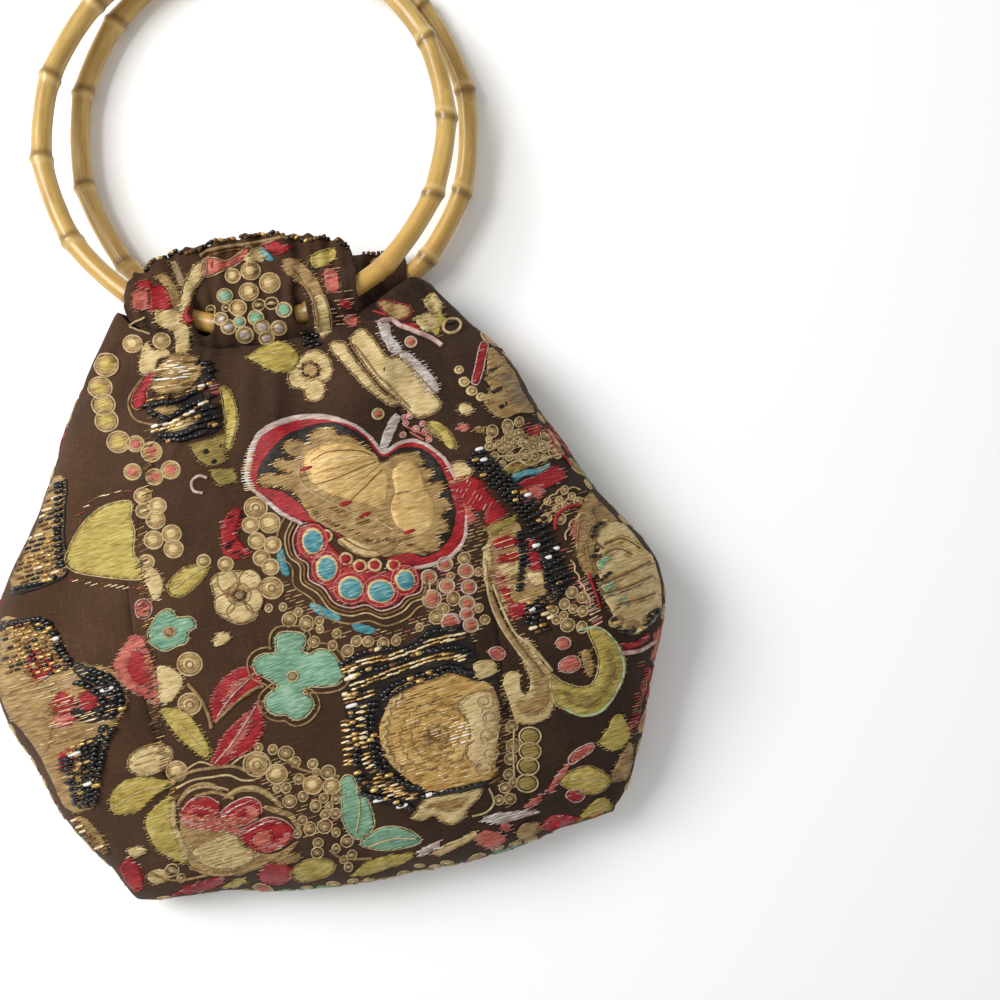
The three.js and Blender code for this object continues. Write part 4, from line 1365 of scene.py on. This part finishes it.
for x, y, r in ((484, 700, 8), (490, 716, 9), (488, 734, 9), (490, 752, 8), (482, 766, 8)):
    layCord("creamCord", ellipse(x, y, r, r * 0.8), 0.7, True, 0.3)
    layDot("creamCord", x, y, r * 0.5)
layScallops(chalk("476,700 482,724 482,744 474,766"), "pinkCord", 4, 12, 0.5)
print("medallion laid")

# Beadwork at the upper left
dome = chalk("154,382 157,370 166,361 176,356 192,356 200,362 202,374 195,383 179,393 163,394 152,389")
# the white beads in this mix stand for painted glints on the gold
layField(dome, {"goldBead": 5, "paleBead": 4, "bronzeBead": 3, "whiteBead": 1.5, "blackBead": 0.8}, 2.5,
         (8, 20), 0.8, 6)
# painted glints: white streaks across the dome where its gold catches the light
for x, y in ((173, 367), (173, 381), (186, 373)):
    layBead("whiteBead", x, y, 13, 0.8, 4)
for points in map(chalk,
                  ("146,407 162,404 179,401 198,391 208,380", "151,413 167,419 179,413 195,405 211,397",
                   "198,366 208,365 211,372 209,384 201,390", "162,436 179,436 198,429 218,426",
                   "166,441 186,439 206,433")):
    layRow(points, blackMix, 5.4, 8, 1.8)
layField(chalk("196,412 220,404 222,429 202,432 190,426"), darkMix, 5.2, (7, 10), 1.8)
layRow(chalk("156,426 173,423 192,413 205,403"), {"paleBead": 2, "bronzeBead": 2, "whiteBead": 1}, 5.4, 8,
       1.4)
layRow(chalk("154,431 176,427 195,419"), tanMix, 4, 8, 1.2)
layRow(chalk("150,401 166,398 182,396 196,388"), tanMix, 4, 8, 0.8)
layRow(chalk("208,380 214,386 216,394"), {"coralCord": 2, "pinkCord": 1}, 2.6, 12, 0.6, 14)
for x, y in ((206, 452), (214, 462), (222, 446)):
    layPatch("dark", ellipse(x, y, 4, 3, 20), 0.55)

# Beadwork down the left edge
leftEdge = {
    "strip": chalk("54,480 64,480 62,533 65,569 54,577 12,588 17,563 31,533 42,506"),
    "medal": chalk("2,628 24,620 46,620 62,646 70,662 92,666 114,673 126,692 126,708 112,731 102,756 98,780 "
                   "94,802 80,810 68,806 56,780 46,752 30,728 10,704 2,680"),
    "rows": (chalk("6,626 24,622 44,620 54,634 64,654 72,664"), chalk("92,670 112,678 122,694 122,708"),
             chalk("86,676 104,684 114,698 112,716"), chalk("112,728 104,748 99,772 94,800"),
             chalk("104,726 96,748 91,772 86,802"), chalk("70,756 72,778 78,802"),
             chalk("78,682 94,690 104,702 100,714"), chalk("60,484 59,510 58,534 62,566"),
             chalk("54,578 36,584 18,588")),
}
layField(leftEdge["strip"], {"goldBead": 3, "paleBead": 2, "bronzeBead": 3, "blackBead": 2}, 4.4, (6, 11),
         1.2)
layField(chalk("4,630 46,622 62,650 74,668 40,676 4,672"), {"goldBead": 4, "blackBead": 4, "bronzeBead": 3},
         4.6, (6, 9), 1.3)
layField(chalk("60,756 98,740 94,800 80,806 68,800"), {"goldBead": 4, "blackBead": 5, "bronzeBead": 3}, 4.6,
         (6, 9), 1.3)
layField(leftEdge["medal"], {"paleBead": 4, "goldBead": 4, "bronzeBead": 2}, 4.2, (9, 17), 0.5, fill=0.6)
layField(chalk("40,676 84,672 116,690 114,712 84,728 48,724"), {"paleBead": 3, "pinkCord": 2, "redCord": 1},
         5.6, (12, 24), 0.5, fill=0.75)
for points in leftEdge["rows"]:
    layRow(points, blackMix, 5.4, 8.5, 1.8)
layBead("whiteBead", 108, 689, 15, 1.8)
layBead("whiteBead", 76, 752, 14, 1.6)
layRow(chalk("75,819 88,834 104,848"), {"paleBead": 1, "bronzeBead": 2}, 5, 8, 1.2)

# Beadwork down the right
layBand(chalk("474,456 486,466 500,482 513,494 529,510 539,528 547,546 553,563 561,582"), blackMix, 4, 5.2,
        5.4, 8, 1.7)
layBand(chalk("561,586 550,596 538,604 530,622"), blackMix, 2, 5.6, 5.4, 8, 1.8)
layRow(chalk("519,534 522,557 521,573 520,589"), blackMix, 5.4, 8.5, 1.8)
for down in range(536, 604, 6):
    shift = (down - 536) * 0.28
    layRow([(486 + shift, down + 4), (516 + shift, down - 4)], {"paleBead": 3, "pinkCord": 2, "goldBead": 2},
           9, 13, 0.45, 17, 2.0)
layRow(chalk("536,546 545,562 548,578"), blackMix, 5.4, 8.5, 1.8)
layField(chalk("522,604 540,600 556,606 554,622 544,634 528,630"),
         {"blackBead": 5, "bronzeBead": 1, "paleBead": 1, "goldBead": 1}, 5.0, (7, 10), 1.6)
layField(chalk("452,484 468,478 482,484 500,506 492,522 474,512 458,498"),
         {"pinkCord": 2, "coralCord": 2, "redCord": 1}, 4.0, (4, 8), 0.6, 60, fill=0.55)
layField(chalk("490,536 518,530 530,560 524,596 500,606 490,580"),
         {"goldBead": 3, "paleBead": 2, "bronzeBead": 2, "redBead": 1}, 6.8, (8, 16), 0.5, fill=0.7)
layLace(chalk("488,440 522,427 541,424 556,447 563,454 540,460 504,466"), 260, (3.0, 5.0))
for points in map(chalk, ("502,470 517,461 529,466 546,458 563,454", "495,457 517,455 536,452 551,447")):
    layCord("creamCord", points, 0.9)
layCord("redCord", chalk("548,425 556,450 575,464"), 1.0)
paisley = {
    "field": chalk("596,530 615,524 637,533 653,552 660,580 659,606 646,618 632,631 618,626 608,604 601,588 "
                   "598,564"),
    "arcs": (chalk("604,580 626,571 650,559"), chalk("606,590 630,583 652,573"),
             chalk("616,602 636,597 655,590"), chalk("604,542 622,536 640,546"),
             chalk("604,552 618,546 632,552")),
    "lobes": ((616, 621, 8, 6), (632, 626, 8, 7), (648, 618, 8, 6)),
}
layField(paisley["field"], {"goldBead": 2, "paleBead": 3}, 4.0, (9, 20), 0.34, 24, fill=0.45)
for points in paisley["arcs"]:
    layCord("goldBead", points, 0.5, False, 0.4)
    layCord("bronzeBead", [(x - 1, y + 3) for x, y in points], 0.6, False, 0.3)
    layRow([(x, y + 6) for x, y in points], {"paleBead": 2, "goldBead": 3, "bronzeBead": 2}, 2.4, 9, 0.4, 24)
for x, y, long, wide in paisley["lobes"]:
    layPatch("tan", ellipse(x, y, long, wide, 30), 0.85)
    layPatch("dark", ellipse(x, y + 1, long * 0.3, wide * 0.3, 30), 0.95)
for points in map(chalk, ("599,504 593,509 593,519 598,525", "604,525 595,532 594,542 602,549",
                          "601,556 593,562 596,571", "603,577 599,586 603,594")):
    layCord("bronzeBead", points, 1.2)
layRow(chalk("593,536 595,527 603,522"), blackMix, 5, 7, 1.5)
layRow(chalk("592,556 596,550"), blackMix, 5, 7, 1.5)
layRow(chalk("600,580 608,574"), blackMix, 5, 7, 1.5)
layRow(chalk("612,618 622,630 636,630 648,620 658,610"), darkMix, 5, 8, 1.5)
layCord("pinkCord", chalk("622,653 640,650 656,640"), 1.8)
layBand(chalk("644,662 641,690 637,715 633,732"), {"coralCord": 2, "redCord": 3, "bronzeBead": 2}, 2, 6, 3.2,
        8, 0.7)
layRow(chalk("582,577 590,603 598,624"), {"pinkCord": 3, "coralCord": 2, "paleBead": 1}, 2.2, 12, 0.5, 28,
       2.4)
layCord("redCord", chalk("588,573 595,592 600,608"), 1.1)
layCord("redCord", chalk("555,530 556,517 566,508 579,505"), 1.5)
for points in map(chalk, ("540,512 550,500 562,491 580,490", "546,520 558,508 572,500 586,502",
                          "566,540 572,524 582,516 592,520", "570,560 578,580 590,604")):
    layScallops(points, "creamCord", 2.5, 12, 0.7)
layLace(chalk("540,506 560,490 590,490 586,506 560,522 544,526"), 120, (3.5, 6.0))
print("beadwork laid")

# Scroll lines and veins: finish, width, points
scrolls = (
    ("creamCord", 1.2, "485,560 489,596 500,624 516,648 534,670"),
    ("creamCord", 1.2, "493,584 504,612 516,634 530,644 552,670"),
    ("tanCord", 2.0, "490,592 502,622 520,648 540,674"),
    ("mintCord", 0.9, "577,630 600,628 616,643 623,664 619,685 604,708 583,715 564,708"),
    ("creamCord", 0.9, "514,728 513,750 514,776"),
    ("creamCord", 0.9, "489,788 494,802 486,812 472,816"),
    ("creamCord", 0.8, "129,326 145,317"),
    ("creamCord", 0.8, "130,327 150,334"),
    ("tanCord", 1.0, "143,378 130,397 130,410 138,421 160,426"),
    ("pinkCord", 2.2, "381,323 391,320 402,327 419,333 432,339 442,346"),
    ("redCord", 0.9, "373,311 386,315"),
    ("tanCord", 0.9, "354,346 372,368 392,390 410,408"),
    ("tanCord", 0.9, "290,268 304,284 314,304 318,326"),
    ("tanCord", 1.5, "200,256 208,251 226,247 249,244 270,240 286,236"),
    ("bronzeBead", 0.8, "202,259 226,251 250,248 272,243"),
    ("tanCord", 1.6, "188,683 201,699 209,715 212,728"),
    ("tanCord", 1.3, "216,722 232,706 252,690 264,686"),
    ("creamCord", 0.9, "177,788 193,780 212,777 229,775 242,780 255,780"),
    ("creamCord", 0.9, "183,796 197,788 217,787 229,790"),
    ("creamCord", 0.9, "226,796 242,788 261,790 277,801"),
    ("tanCord", 1.1, "286,760 304,770 340,776"),
    ("tanCord", 1.1, "190,868 222,874 256,866 282,852"),
    ("tanCord", 1.1, "330,850 344,858 372,858"),
    ("tanCord", 1.1, "150,872 176,880 210,874"),
    ("creamCord", 0.5, "252,356 270,353 292,359"),
    ("creamCord", 0.5, "167,715 184,728 206,752"),
    ("creamCord", 0.5, "176,588 190,577 205,567"),
    ("creamCord", 0.5, "116,806 138,792 168,784"),
    ("pinkCord", 0.6, "218,716 232,696 254,674"),
    ("pinkCord", 0.6, "216,762 236,738 256,706"),
    ("creamCord", 0.6, "562,780 584,778 606,780"),
    ("creamCord", 0.6, "582,816 596,808 608,802"),
    ("creamCord", 0.6, "356,784 360,806 356,832"),
    ("creamCord", 0.6, "368,846 392,838 416,838"),
    ("tanCord", 0.9, "493,450 503,443 510,448 502,454"),
    ("tanCord", 0.9, "510,438 521,434 531,441 525,448"),
    ("coralCord", 0.8, "405,426 418,432 432,438"),
    ("coralCord", 0.8, "410,432 424,440"),
    ("pinkCord", 1.2, "207,478 199,476 192,482 194,491 203,493"),
    ("tanCord", 1.4, "174,782 190,772 212,768 234,766 250,772"),
    ("creamCord", 0.8, "186,770 200,762 214,766"),
    ("tanCord", 1.4, "196,796 214,792 234,798"),
    ("creamCord", 0.8, "232,764 246,755 264,756 272,766 262,774 250,768"),
)
for finish, wide, marks in scrolls:
    layCord(finish, chalk(marks), wide)
for points in map(chalk, ("179,803 188,791 205,785 223,790", "225,798 238,790 257,789 272,797 282,807",
                          "264,807 278,811 291,816 299,828", "250,853 268,857 284,853 296,843")):
    layPatch("tan", ribbon(points, 6, 0.5), 0.35, 1.0)
    layRow(points, {"creamCord": 3, "tanCord": 2, "bronzeBead": 1}, 2.6, 7, 0.4, 20)
for points in map(chalk, ("183,810 191,800 206,796 219,803", "220,813 232,803 248,797 260,802 262,812",
                          "240,830 254,823 270,817 286,821 294,829")):
    layCord("pinkCord", points, 0.6)
layField(chalk("186,818 220,819 240,828 246,846 226,834 188,830"),
         {"creamCord": 3, "pinkCord": 2, "tanCord": 2}, 3.0, (7, 14), 0.42, 16, fill=0.7)
# painted highlight: white glints along the tops of the petals
layRow(chalk("246,832 256,826 266,821 276,820"), {"whiteBead": 1, "pinkCord": 3}, 2.6, 8, 0.4)
layRow(chalk("224,815 236,806 250,801"), {"whiteBead": 1, "pinkCord": 2, "coralCord": 2}, 2.6, 8, 0.4)
for x, y in ((530, 736), (530, 751), (528, 766), (527, 783)):
    layPatch("olive", ellipse(x, y, 9, 7), 0.4)
    layCord("creamCord", ellipse(x, y, 11, 9), 0.75, True)
for x, y in ((170, 632), (293, 676)):
    layCord("creamCord", ellipse(x, y, 6, 5, 20, 10), 0.6, True, 0.3)
    layDot("tanCord", x, y, 4)
leafTips = ((212, 702), (213, 761))
flowerPoints = 20
for finish, outline, high, edge in frontPatches:
    if finish == "teal" and len(outline) > flowerPoints:
        layCord("tanCord", grown(outline, 7), 0.8, True, 0.3, fromAbove, False)
    if finish == "red" and outline[0] in leafTips:
        layRow(outline + outline[:1], {"coralCord": 1}, 3.2, 5, 0.55)
for points in map(chalk, ("78,516 92,501 112,493 130,491", "71,580 95,584 120,587 142,589")):
    layRow(points, {"redBead": 2, "bronzeBead": 3, "paleBead": 2}, 6, 9, 0.55)
for outline in map(chalk, ("184,822 200,827 238,835 248,850 260,860 236,872 206,871 188,858",
                           "196,852 206,843 226,838 240,846 248,856 228,866 206,862",
                           "134,768 140,754 162,748 168,758 150,771")):
    layField(outline, {"tanCord": 3, "creamCord": 2, "bronzeBead": 1}, 3.2, (8, 18), 0.45, fill=0.6)
print("scrolls laid")

# Outlined bubbles: centre, radius
bubbleSet = {
    "plain": (
        (251, 271, 10), (233, 276, 8), (270, 283, 11), (249, 292, 10), (238, 308, 9), (133, 344, 10),
        (162, 341, 9), (143, 496, 9), (158, 506, 9), (156, 520, 10), (144, 511, 8), (154, 540, 10),
        (172, 534, 10), (174, 549, 10), (147, 562, 8), (256, 508, 12), (270, 523, 11), (251, 525, 9),
        (257, 541, 9), (273, 545, 9), (262, 558, 9), (271, 567, 9), (272, 588, 12), (204, 561, 7),
        (226, 564, 8), (190, 664, 13), (190, 704, 12), (257, 764, 14), (277, 774, 11), (313, 785, 10),
        (332, 786, 9), (177, 771, 11),
    ),
    "lime": ((107, 365, 13), (101, 388, 12), (104, 405, 12), (107, 421, 12), (119, 442, 12)),
    "coral": (
        (411, 342, 6), (378, 414, 6), (152, 452, 11), (171, 470, 10), (136, 444, 9), (133, 472, 9),
        (155, 477, 9), (429, 577, 8), (447, 586, 8), (432, 599, 10), (445, 564, 8), (466, 571, 8),
        (469, 587, 8), (467, 603, 8), (467, 614, 7), (471, 625, 8), (450, 622, 9),
    ),
    "teal": ((225, 296, 8), (256, 318, 8), (284, 310, 8), (240, 322, 6)),
    "silver": ((229, 327, 8), (245, 335, 9), (262, 327, 8), (279, 328, 8), (267, 338, 8), (221, 319, 7)),
}
for finish, places in bubbleSet.items():
    for x, y, r in places:
        rim = "pinkCord" if finish == "coral" and x > 400 else "creamCord"
        layPatch("tan", ellipse(x, y, r * 0.86, r * 0.8, 0, 12), 0.34, 0.9)
        layCord(rim, ellipse(x, y, r * 0.95, r * 0.88, 0, 14), 0.8, True, 0.2)
        if finish == "plain":
            # the cream centre is partly the bubble's own thread and partly a painted highlight, set a little
            # up and left toward the key light
            layPatch("cream", ellipse(x - 0.5, y - 0.5, r * 0.52, r * 0.46, 0, 10), 0.52, 0.8)
            if r > 11:
                layCord("tanCord", ellipse(x, y, r * 0.3, r * 0.28, 0, 8), 0.6, True, 0.3)
        else:
            fill = 0.74 if finish == "teal" else 0.56
            layPatch(finish, ellipse(x, y, r * fill, r * fill * 0.92, 0, 12), 0.52, 0.8)
print("bubbles laid")

# Small flowers of cream petals, then filigree between the motifs
for x, y, long, wide, turn in ((239, 594, 12, 11, 0), (228, 582, 10, 12, 30), (250, 580, 11, 10, 0),
                               (254, 600, 9, 12, 0), (240, 612, 13, 10, 0), (225, 604, 10, 10, 0)):
    layPatch("cream", ellipse(x, y, long, wide, turn), 0.62)
    layCord("tanCord", ellipse(x, y, long, wide, turn), 0.5, True, 0.3)
layPatch("stone", ellipse(239, 595, 9, 8), 0.8)
layRow(ellipse(239, 595, 6, 5) + [(245, 595)], {"bronzeBead": 2, "blackBead": 1}, 3.4, 3.4, 0.9)
for x, y in ((304, 366), (316, 366), (308, 377), (318, 376)):
    layBead("blackBead", x, y, 4, 1.1)
laceZones = (
    ("262,604 300,612 352,634 392,640 440,612 446,624 392,650 340,655 300,640", 500),
    ("236,752 282,748 330,770 352,800 350,840 310,850 286,812 262,790", 600),
    ("150,862 200,868 290,852 340,846 356,852 350,866 330,868 220,880 160,884", 200),
    ("498,722 515,726 518,800 498,806 494,770", 160),
    ("560,590 584,590 590,622 562,640 550,620", 100),
    ("480,440 496,420 530,424 556,446 548,462 500,446", 150),
    ("210,300 240,290 284,306 284,338 226,336", 200),
    ("420,560 470,556 484,600 482,640 462,626 428,622 420,590", 100),
)
for marks, tries in laceZones:
    layLace(chalk(marks), tries)
print("filigree laid")

# Whip stitches over the side seams and the beaded edge of the frill
stitchSet = {"left": chalk("160,372 152,430 146,500 142,560 148,640 152,690 160,740 176,800"),
             "right": chalk("503,690 502,720 500,750 494,782")}
for side, path in stitchSet.items():
    for k, point in enumerate(smoothLine(path, False, 2.8)):
        thread = ("goldBead", "bronzeBead", "bronzeBead", "blackBead", "tanCord")[(k * 7 + k // 3) % 5]
        layBead(thread, point.x + (k * 5 % 7) - 3, point.y, 9 + k * 3 % 5, 0.5, 17 if k % 2 else 24)
frillEdge = chalk("146,269 151,262 159,254 172,251 187,252 203,249 212,240 224,239 238,237 251,235 264,233 "
                  "283,234 302,240 318,237 332,239 346,247")
layRow(ellipse(311, 371, 8, 7) + [(319, 371)], {"bronzeBead": 2, "blackBead": 1}, 3.4, 3.2, 0.9)
layRow(frillEdge, {"bronzeBead": 4, "blackBead": 3, "goldBead": 1}, 4.6, 5.5, 1.7, 40, 1.4, onEdge)
layRow(chalk("366,244 378,240 390,239 400,242"), {"bronzeBead": 3, "blackBead": 2}, 4.6, 5.5, 1.6, 40, 1.4,
       onEdge)
for finish, x, y, r in (("tan", 376, 262, 6), ("olive", 384, 254, 6), ("tan", 392, 266, 6),
                        ("cream", 380, 278, 6)):
    layPatch(finish, ellipse(x, y, r, r * 0.7, 20, 10), 0.3, 1.0)
layField(chalk("299,333 318,332 323,346 304,348"), {"blackBead": 9, "whiteBead": 1}, 4.2, (6, 8), 1.8)
layField(chalk("322,262 345,262 356,300 354,330 332,330 328,300"),
         {"creamCord": 4, "coralCord": 1, "pinkCord": 2}, 4.0, (7, 14), 0.5, 8, fill=0.7)
layLace(chalk("398,415 426,420 434,438 410,441 398,432"), 90, (2.5, 4.0), "pinkCord", "coralCord", 0.5)
layBead("coralCord", 213.7, 263.5, 9, 1.0, 84)
layCord("creamCord", ellipse(452, 326, 9, 7, 20), 1.2, True)
layBead("blackBead", 451, 323, 6, 1.8)
for x, y, r in ((459, 370, 5), (464, 382, 6), (472, 391, 6), (481, 397, 5), (489, 402, 5)):
    layPatch("cream", ellipse(x, y, r, r * 0.85, 0, 10), 0.4, 1.0)
    layCord("tanCord", ellipse(x, y, r * 0.5, r * 0.45, 0, 8), 0.5, True, 0.3)
print("stitches laid")

# Motifs scattered round the walls, from one side of the mouth to the other
wallDraws = random.Random(11)
wallKinds = {"flower": (22, 24), "leaf": (19, 42), "drop": (13, 34),
             "bubble": (7.5, 230)}  # reach, tries kept at most
wallFlowers = (("red", "cream"), ("teal", "coral"), ("cream", "tan"), ("coral", "cream"))
wallLeaves = ("lime", "red", "cream", "olive", "teal", "tan")
wallPlaces = []


def overFront(x, y, r):  # whether a wall motif would run into work on the front
    for px, py in ellipse(x, y, r, r, 0, 8):
        hit, normal = fromSide(px, py)
        perhaps, surely = wallSet["onFront"]
        if normal.z > surely:
            return True
        if normal.z > perhaps:
            seen = hit - viewEye
            u = (seen.x * math.cos(viewTurn) + seen.y * math.sin(viewTurn)) / -seen.z * viewFocus
            v = (seen.y * math.cos(viewTurn) - seen.x * math.sin(viewTurn)) / -seen.z * viewFocus
            if heightAt(viewMiddle + u, viewMiddle - v) > 0:
                return True
    return False


for kind, (reach, most) in wallKinds.items():
    kept = 0
    for _ in range(most * 12):
        x = wallDraws.uniform(8, wallSet["length"])
        y = wallDraws.uniform(4 + reach * 0.6, wallSet["depth"] - reach * 0.9)
        r = reach * wallDraws.uniform(0.8, 1.1)
        turn = wallDraws.uniform(0, 180)
        if kept == most or crowded(x, y, r, wallPlaces, wallSet["apart"]):
            continue
        if overFront(x, y, r):
            continue
        wallPlaces.append((x, y, r))
        if kind == "flower":
            petal, middle = wallFlowers[kept % len(wallFlowers)]
            layFlower(petal, x, y, 5, r * 0.55, r * 0.42, middle, turn, fromSide, 0.35)
            layCord("tanCord", ellipse(x, y, r * 0.26, r * 0.24, 0, 10), 0.5, True, 0.3, fromSide)
        elif kind == "leaf":
            c, s = r * math.cos(math.radians(turn)), r * math.sin(math.radians(turn))
            finish = wallLeaves[kept % len(wallLeaves)]
            blade = leaf((x - c, y + s), (x + c, y - s), r * 0.95, 3)
            layPatch(finish, blade, 0.35, 1.3, None, fromSide)
            frayEdge(finish, blade, fromSide)
            layCord("creamCord", [(x - c * 0.7, y + s * 0.7), (x + c * 0.7, y - s * 0.7)], 0.5, False, 0.3,
                    fromSide)
        elif kind == "drop":
            layPatch("tan", ellipse(x, y, r, r * 0.72, turn), 0.3, 1.2, None, fromSide)
            layPatch(("coral", "gold", "olive")[kept % 3], ellipse(x, y, r * 0.66, r * 0.45, turn), 0.5, 1.0,
                     None, fromSide)
            layCord("creamCord", ellipse(x, y, r, r * 0.72, turn), 0.6, True, 0.2, fromSide)
        else:
            layPatch("tan", ellipse(x, y, r * 0.86, r * 0.8, 0, 12), 0.3, 0.9, None, fromSide)
            layPatch("cream", ellipse(x, y, r * 0.5, r * 0.45, 0, 10), 0.48, 0.8, None, fromSide)
            layCord("creamCord", ellipse(x, y, r * 0.95, r * 0.88, 0, 14), 0.7, True, 0.2, fromSide)
        kept += 1
print("walls laid:", len(wallPlaces))

# The back and the undersides of the gussets, seen from below
backFlowers = ((500, 420, "red", "cream", 1.5), (430, 520, "cream", "tan", 1.3),
               (580, 530, "teal", "coral", 1.4), (490, 640, "cream", "red", 1.5),
               (380, 640, "red", "coral", 1.1), (620, 660, "lime", "tan", 1.2),
               (300, 520, "teal", "coral", 1.1), (710, 540, "coral", "cream", 1.1),
               (500, 260, "teal", "coral", 1.1), (400, 330, "coral", "cream", 1.0),
               (600, 350, "cream", "tan", 1.1), (250, 640, "cream", "tan", 1.0),
               (750, 650, "red", "cream", 1.0), (290, 400, "lime", "tan", 1.0),
               (700, 400, "lime", "red", 1.0))
for x, y, petal, middle, size in backFlowers:
    layFlower(petal, x, y, 6, 17 * size, 11 * size, middle, 10, fromBelow, 0.2)
backLeaves = ((455, 455, 395, 470), (540, 460, 610, 455), (460, 575, 400, 580), (540, 590, 560, 640),
              (440, 690, 390, 720), (545, 690, 610, 720), (330, 560, 290, 610), (670, 590, 720, 610),
              (450, 280, 400, 260), (560, 290, 610, 270), (340, 440, 320, 480), (660, 450, 680, 490),
              (230, 560, 220, 600), (780, 560, 790, 610))
for k, (x0, y0, x1, y1) in enumerate(backLeaves):
    finish, blade = ("lime", "teal", "tan", "cream")[k % 4], leaf((x0, y0), (x1, y1), 24, 4)
    layPatch(finish, blade, 0.2, 1.3, None, fromBelow)
    frayEdge(finish, blade, fromBelow)
backDraws = random.Random(5)
for _ in range(40):
    x, y, r = backDraws.uniform(230, 770), backDraws.uniform(240, 740), backDraws.uniform(6, 11)
    layCord("creamCord", ellipse(x, y, r, r, 0, 12), 0.5, True, 0.0, fromBelow)
print("back laid")

# Everything laid so far becomes one piece for each finish
for finish, bed in beds.items():
    mesh = bpy.data.meshes.new(finish + "Embroidery")
    bed.to_mesh(mesh)
    bed.free()
    addPiece(finish + "Embroidery", mesh, finish)

for finish, lines in cordLines.items():
    curve = bpy.data.curves.new(finish, "CURVE")
    curve.dimensions = "3D"
    curve.bevel_depth = mm
    curve.bevel_resolution = 1  # cords are fine, so few sides
    curve.use_fill_caps = True
    for path, radius, closed in lines:
        spline = curve.splines.new("POLY")
        spline.points.add(len(path) - 1)
        spline.use_cyclic_u = closed
        for point, place in zip(spline.points, path):
            point.co = (*place, 1)
            point.radius = radius
    draft = bpy.data.objects.new(finish + "Draft", curve)
    scene.collection.objects.link(draft)
    bpy.context.view_layer.update()
    mesh = bpy.data.meshes.new_from_object(draft.evaluated_get(bpy.context.evaluated_depsgraph_get()))
    bpy.data.objects.remove(draft)
    mesh.name = finish + "Couching"
    addPiece(finish + "Couching", mesh, finish)

grainSet = {"bead": (6, 5), "stitch": (4, 3)}  # segments and rows
bluntness = 0.6  # bugle ends are blunt
grains = {}
for kind, (segments, rows) in grainSet.items():
    shape = bmesh.new()
    bmesh.ops.create_uvsphere(shape, u_segments=segments, v_segments=rows, radius=1)
    bmesh.ops.rotate(shape, verts=shape.verts, cent=(0, 0, 0), matrix=Matrix.Rotation(math.pi / 2, 3, "Y"))
    for vertex in shape.verts:
        vertex.co.x = math.copysign(abs(vertex.co.x) ** bluntness, vertex.co.x)
    grains[kind] = ([v.co.copy() for v in shape.verts], [[v.index for v in f.verts] for f in shape.faces])
    shape.free()
for finish, places in beadPlaces.items():
    corners, faces = [], []
    for kind, place in places:
        start = len(corners)
        corners.extend(place @ c for c in grains[kind][0])
        faces.extend([start + k for k in face] for face in grains[kind][1])
    mesh = bpy.data.meshes.new(finish + "Work")
    mesh.from_pydata(corners, [], faces)
    mesh.update()
    addPiece(finish + "Work", mesh, finish)
print("beads:", {k: len(v) for k, v in beadPlaces.items()})

# Floor and light
floorSet = {"size": 3, "height": -0.0006, "colour": (0.97, 0.97, 0.96, 1), "rough": 0.9}
floorShape = bmesh.new()
bmesh.ops.create_grid(floorShape, x_segments=4, y_segments=4, size=floorSet["size"])
floorMesh = bpy.data.meshes.new("floor")
floorShape.to_mesh(floorMesh)
floorShape.free()
floor = bpy.data.objects.new("floor", floorMesh)
floor.location = (0, 0, floorSet["height"])
floorMaterial, _, floorShader = startMaterial("paleFloor")
floorShader.inputs["Base Color"].default_value = floorSet["colour"]
floorShader.inputs["Roughness"].default_value = floorSet["rough"]
floorMesh.materials.append(floorMaterial)
scene.collection.objects.link(floor)

lampAim = Vector((0, -0.02, 0.02))
skyStrength = 0.5
lampSet = {
    "key": {"place": (-0.62, 0.40, 0.85), "size": 0.6, "power": 13.0},
    "fill": {"place": (0.7, -0.5, 0.9), "size": 1.2, "power": 0.4},
}
for name, lamp in lampSet.items():
    data = bpy.data.lights.new(name, "AREA")
    data.size = lamp["size"]
    data.energy = lamp["power"]
    light = bpy.data.objects.new(name, data)
    light.location = lamp["place"]
    light.rotation_euler = (lampAim - Vector(lamp["place"])).to_track_quat("-Z", "Y").to_euler()
    scene.collection.objects.link(light)
world = bpy.data.worlds.new("studio")
world.use_nodes = True
world.node_tree.nodes["Background"].inputs["Color"].default_value = (1, 1, 1, 1)
world.node_tree.nodes["Background"].inputs["Strength"].default_value = skyStrength
scene.world = world
scene.view_settings.view_transform = "Standard"
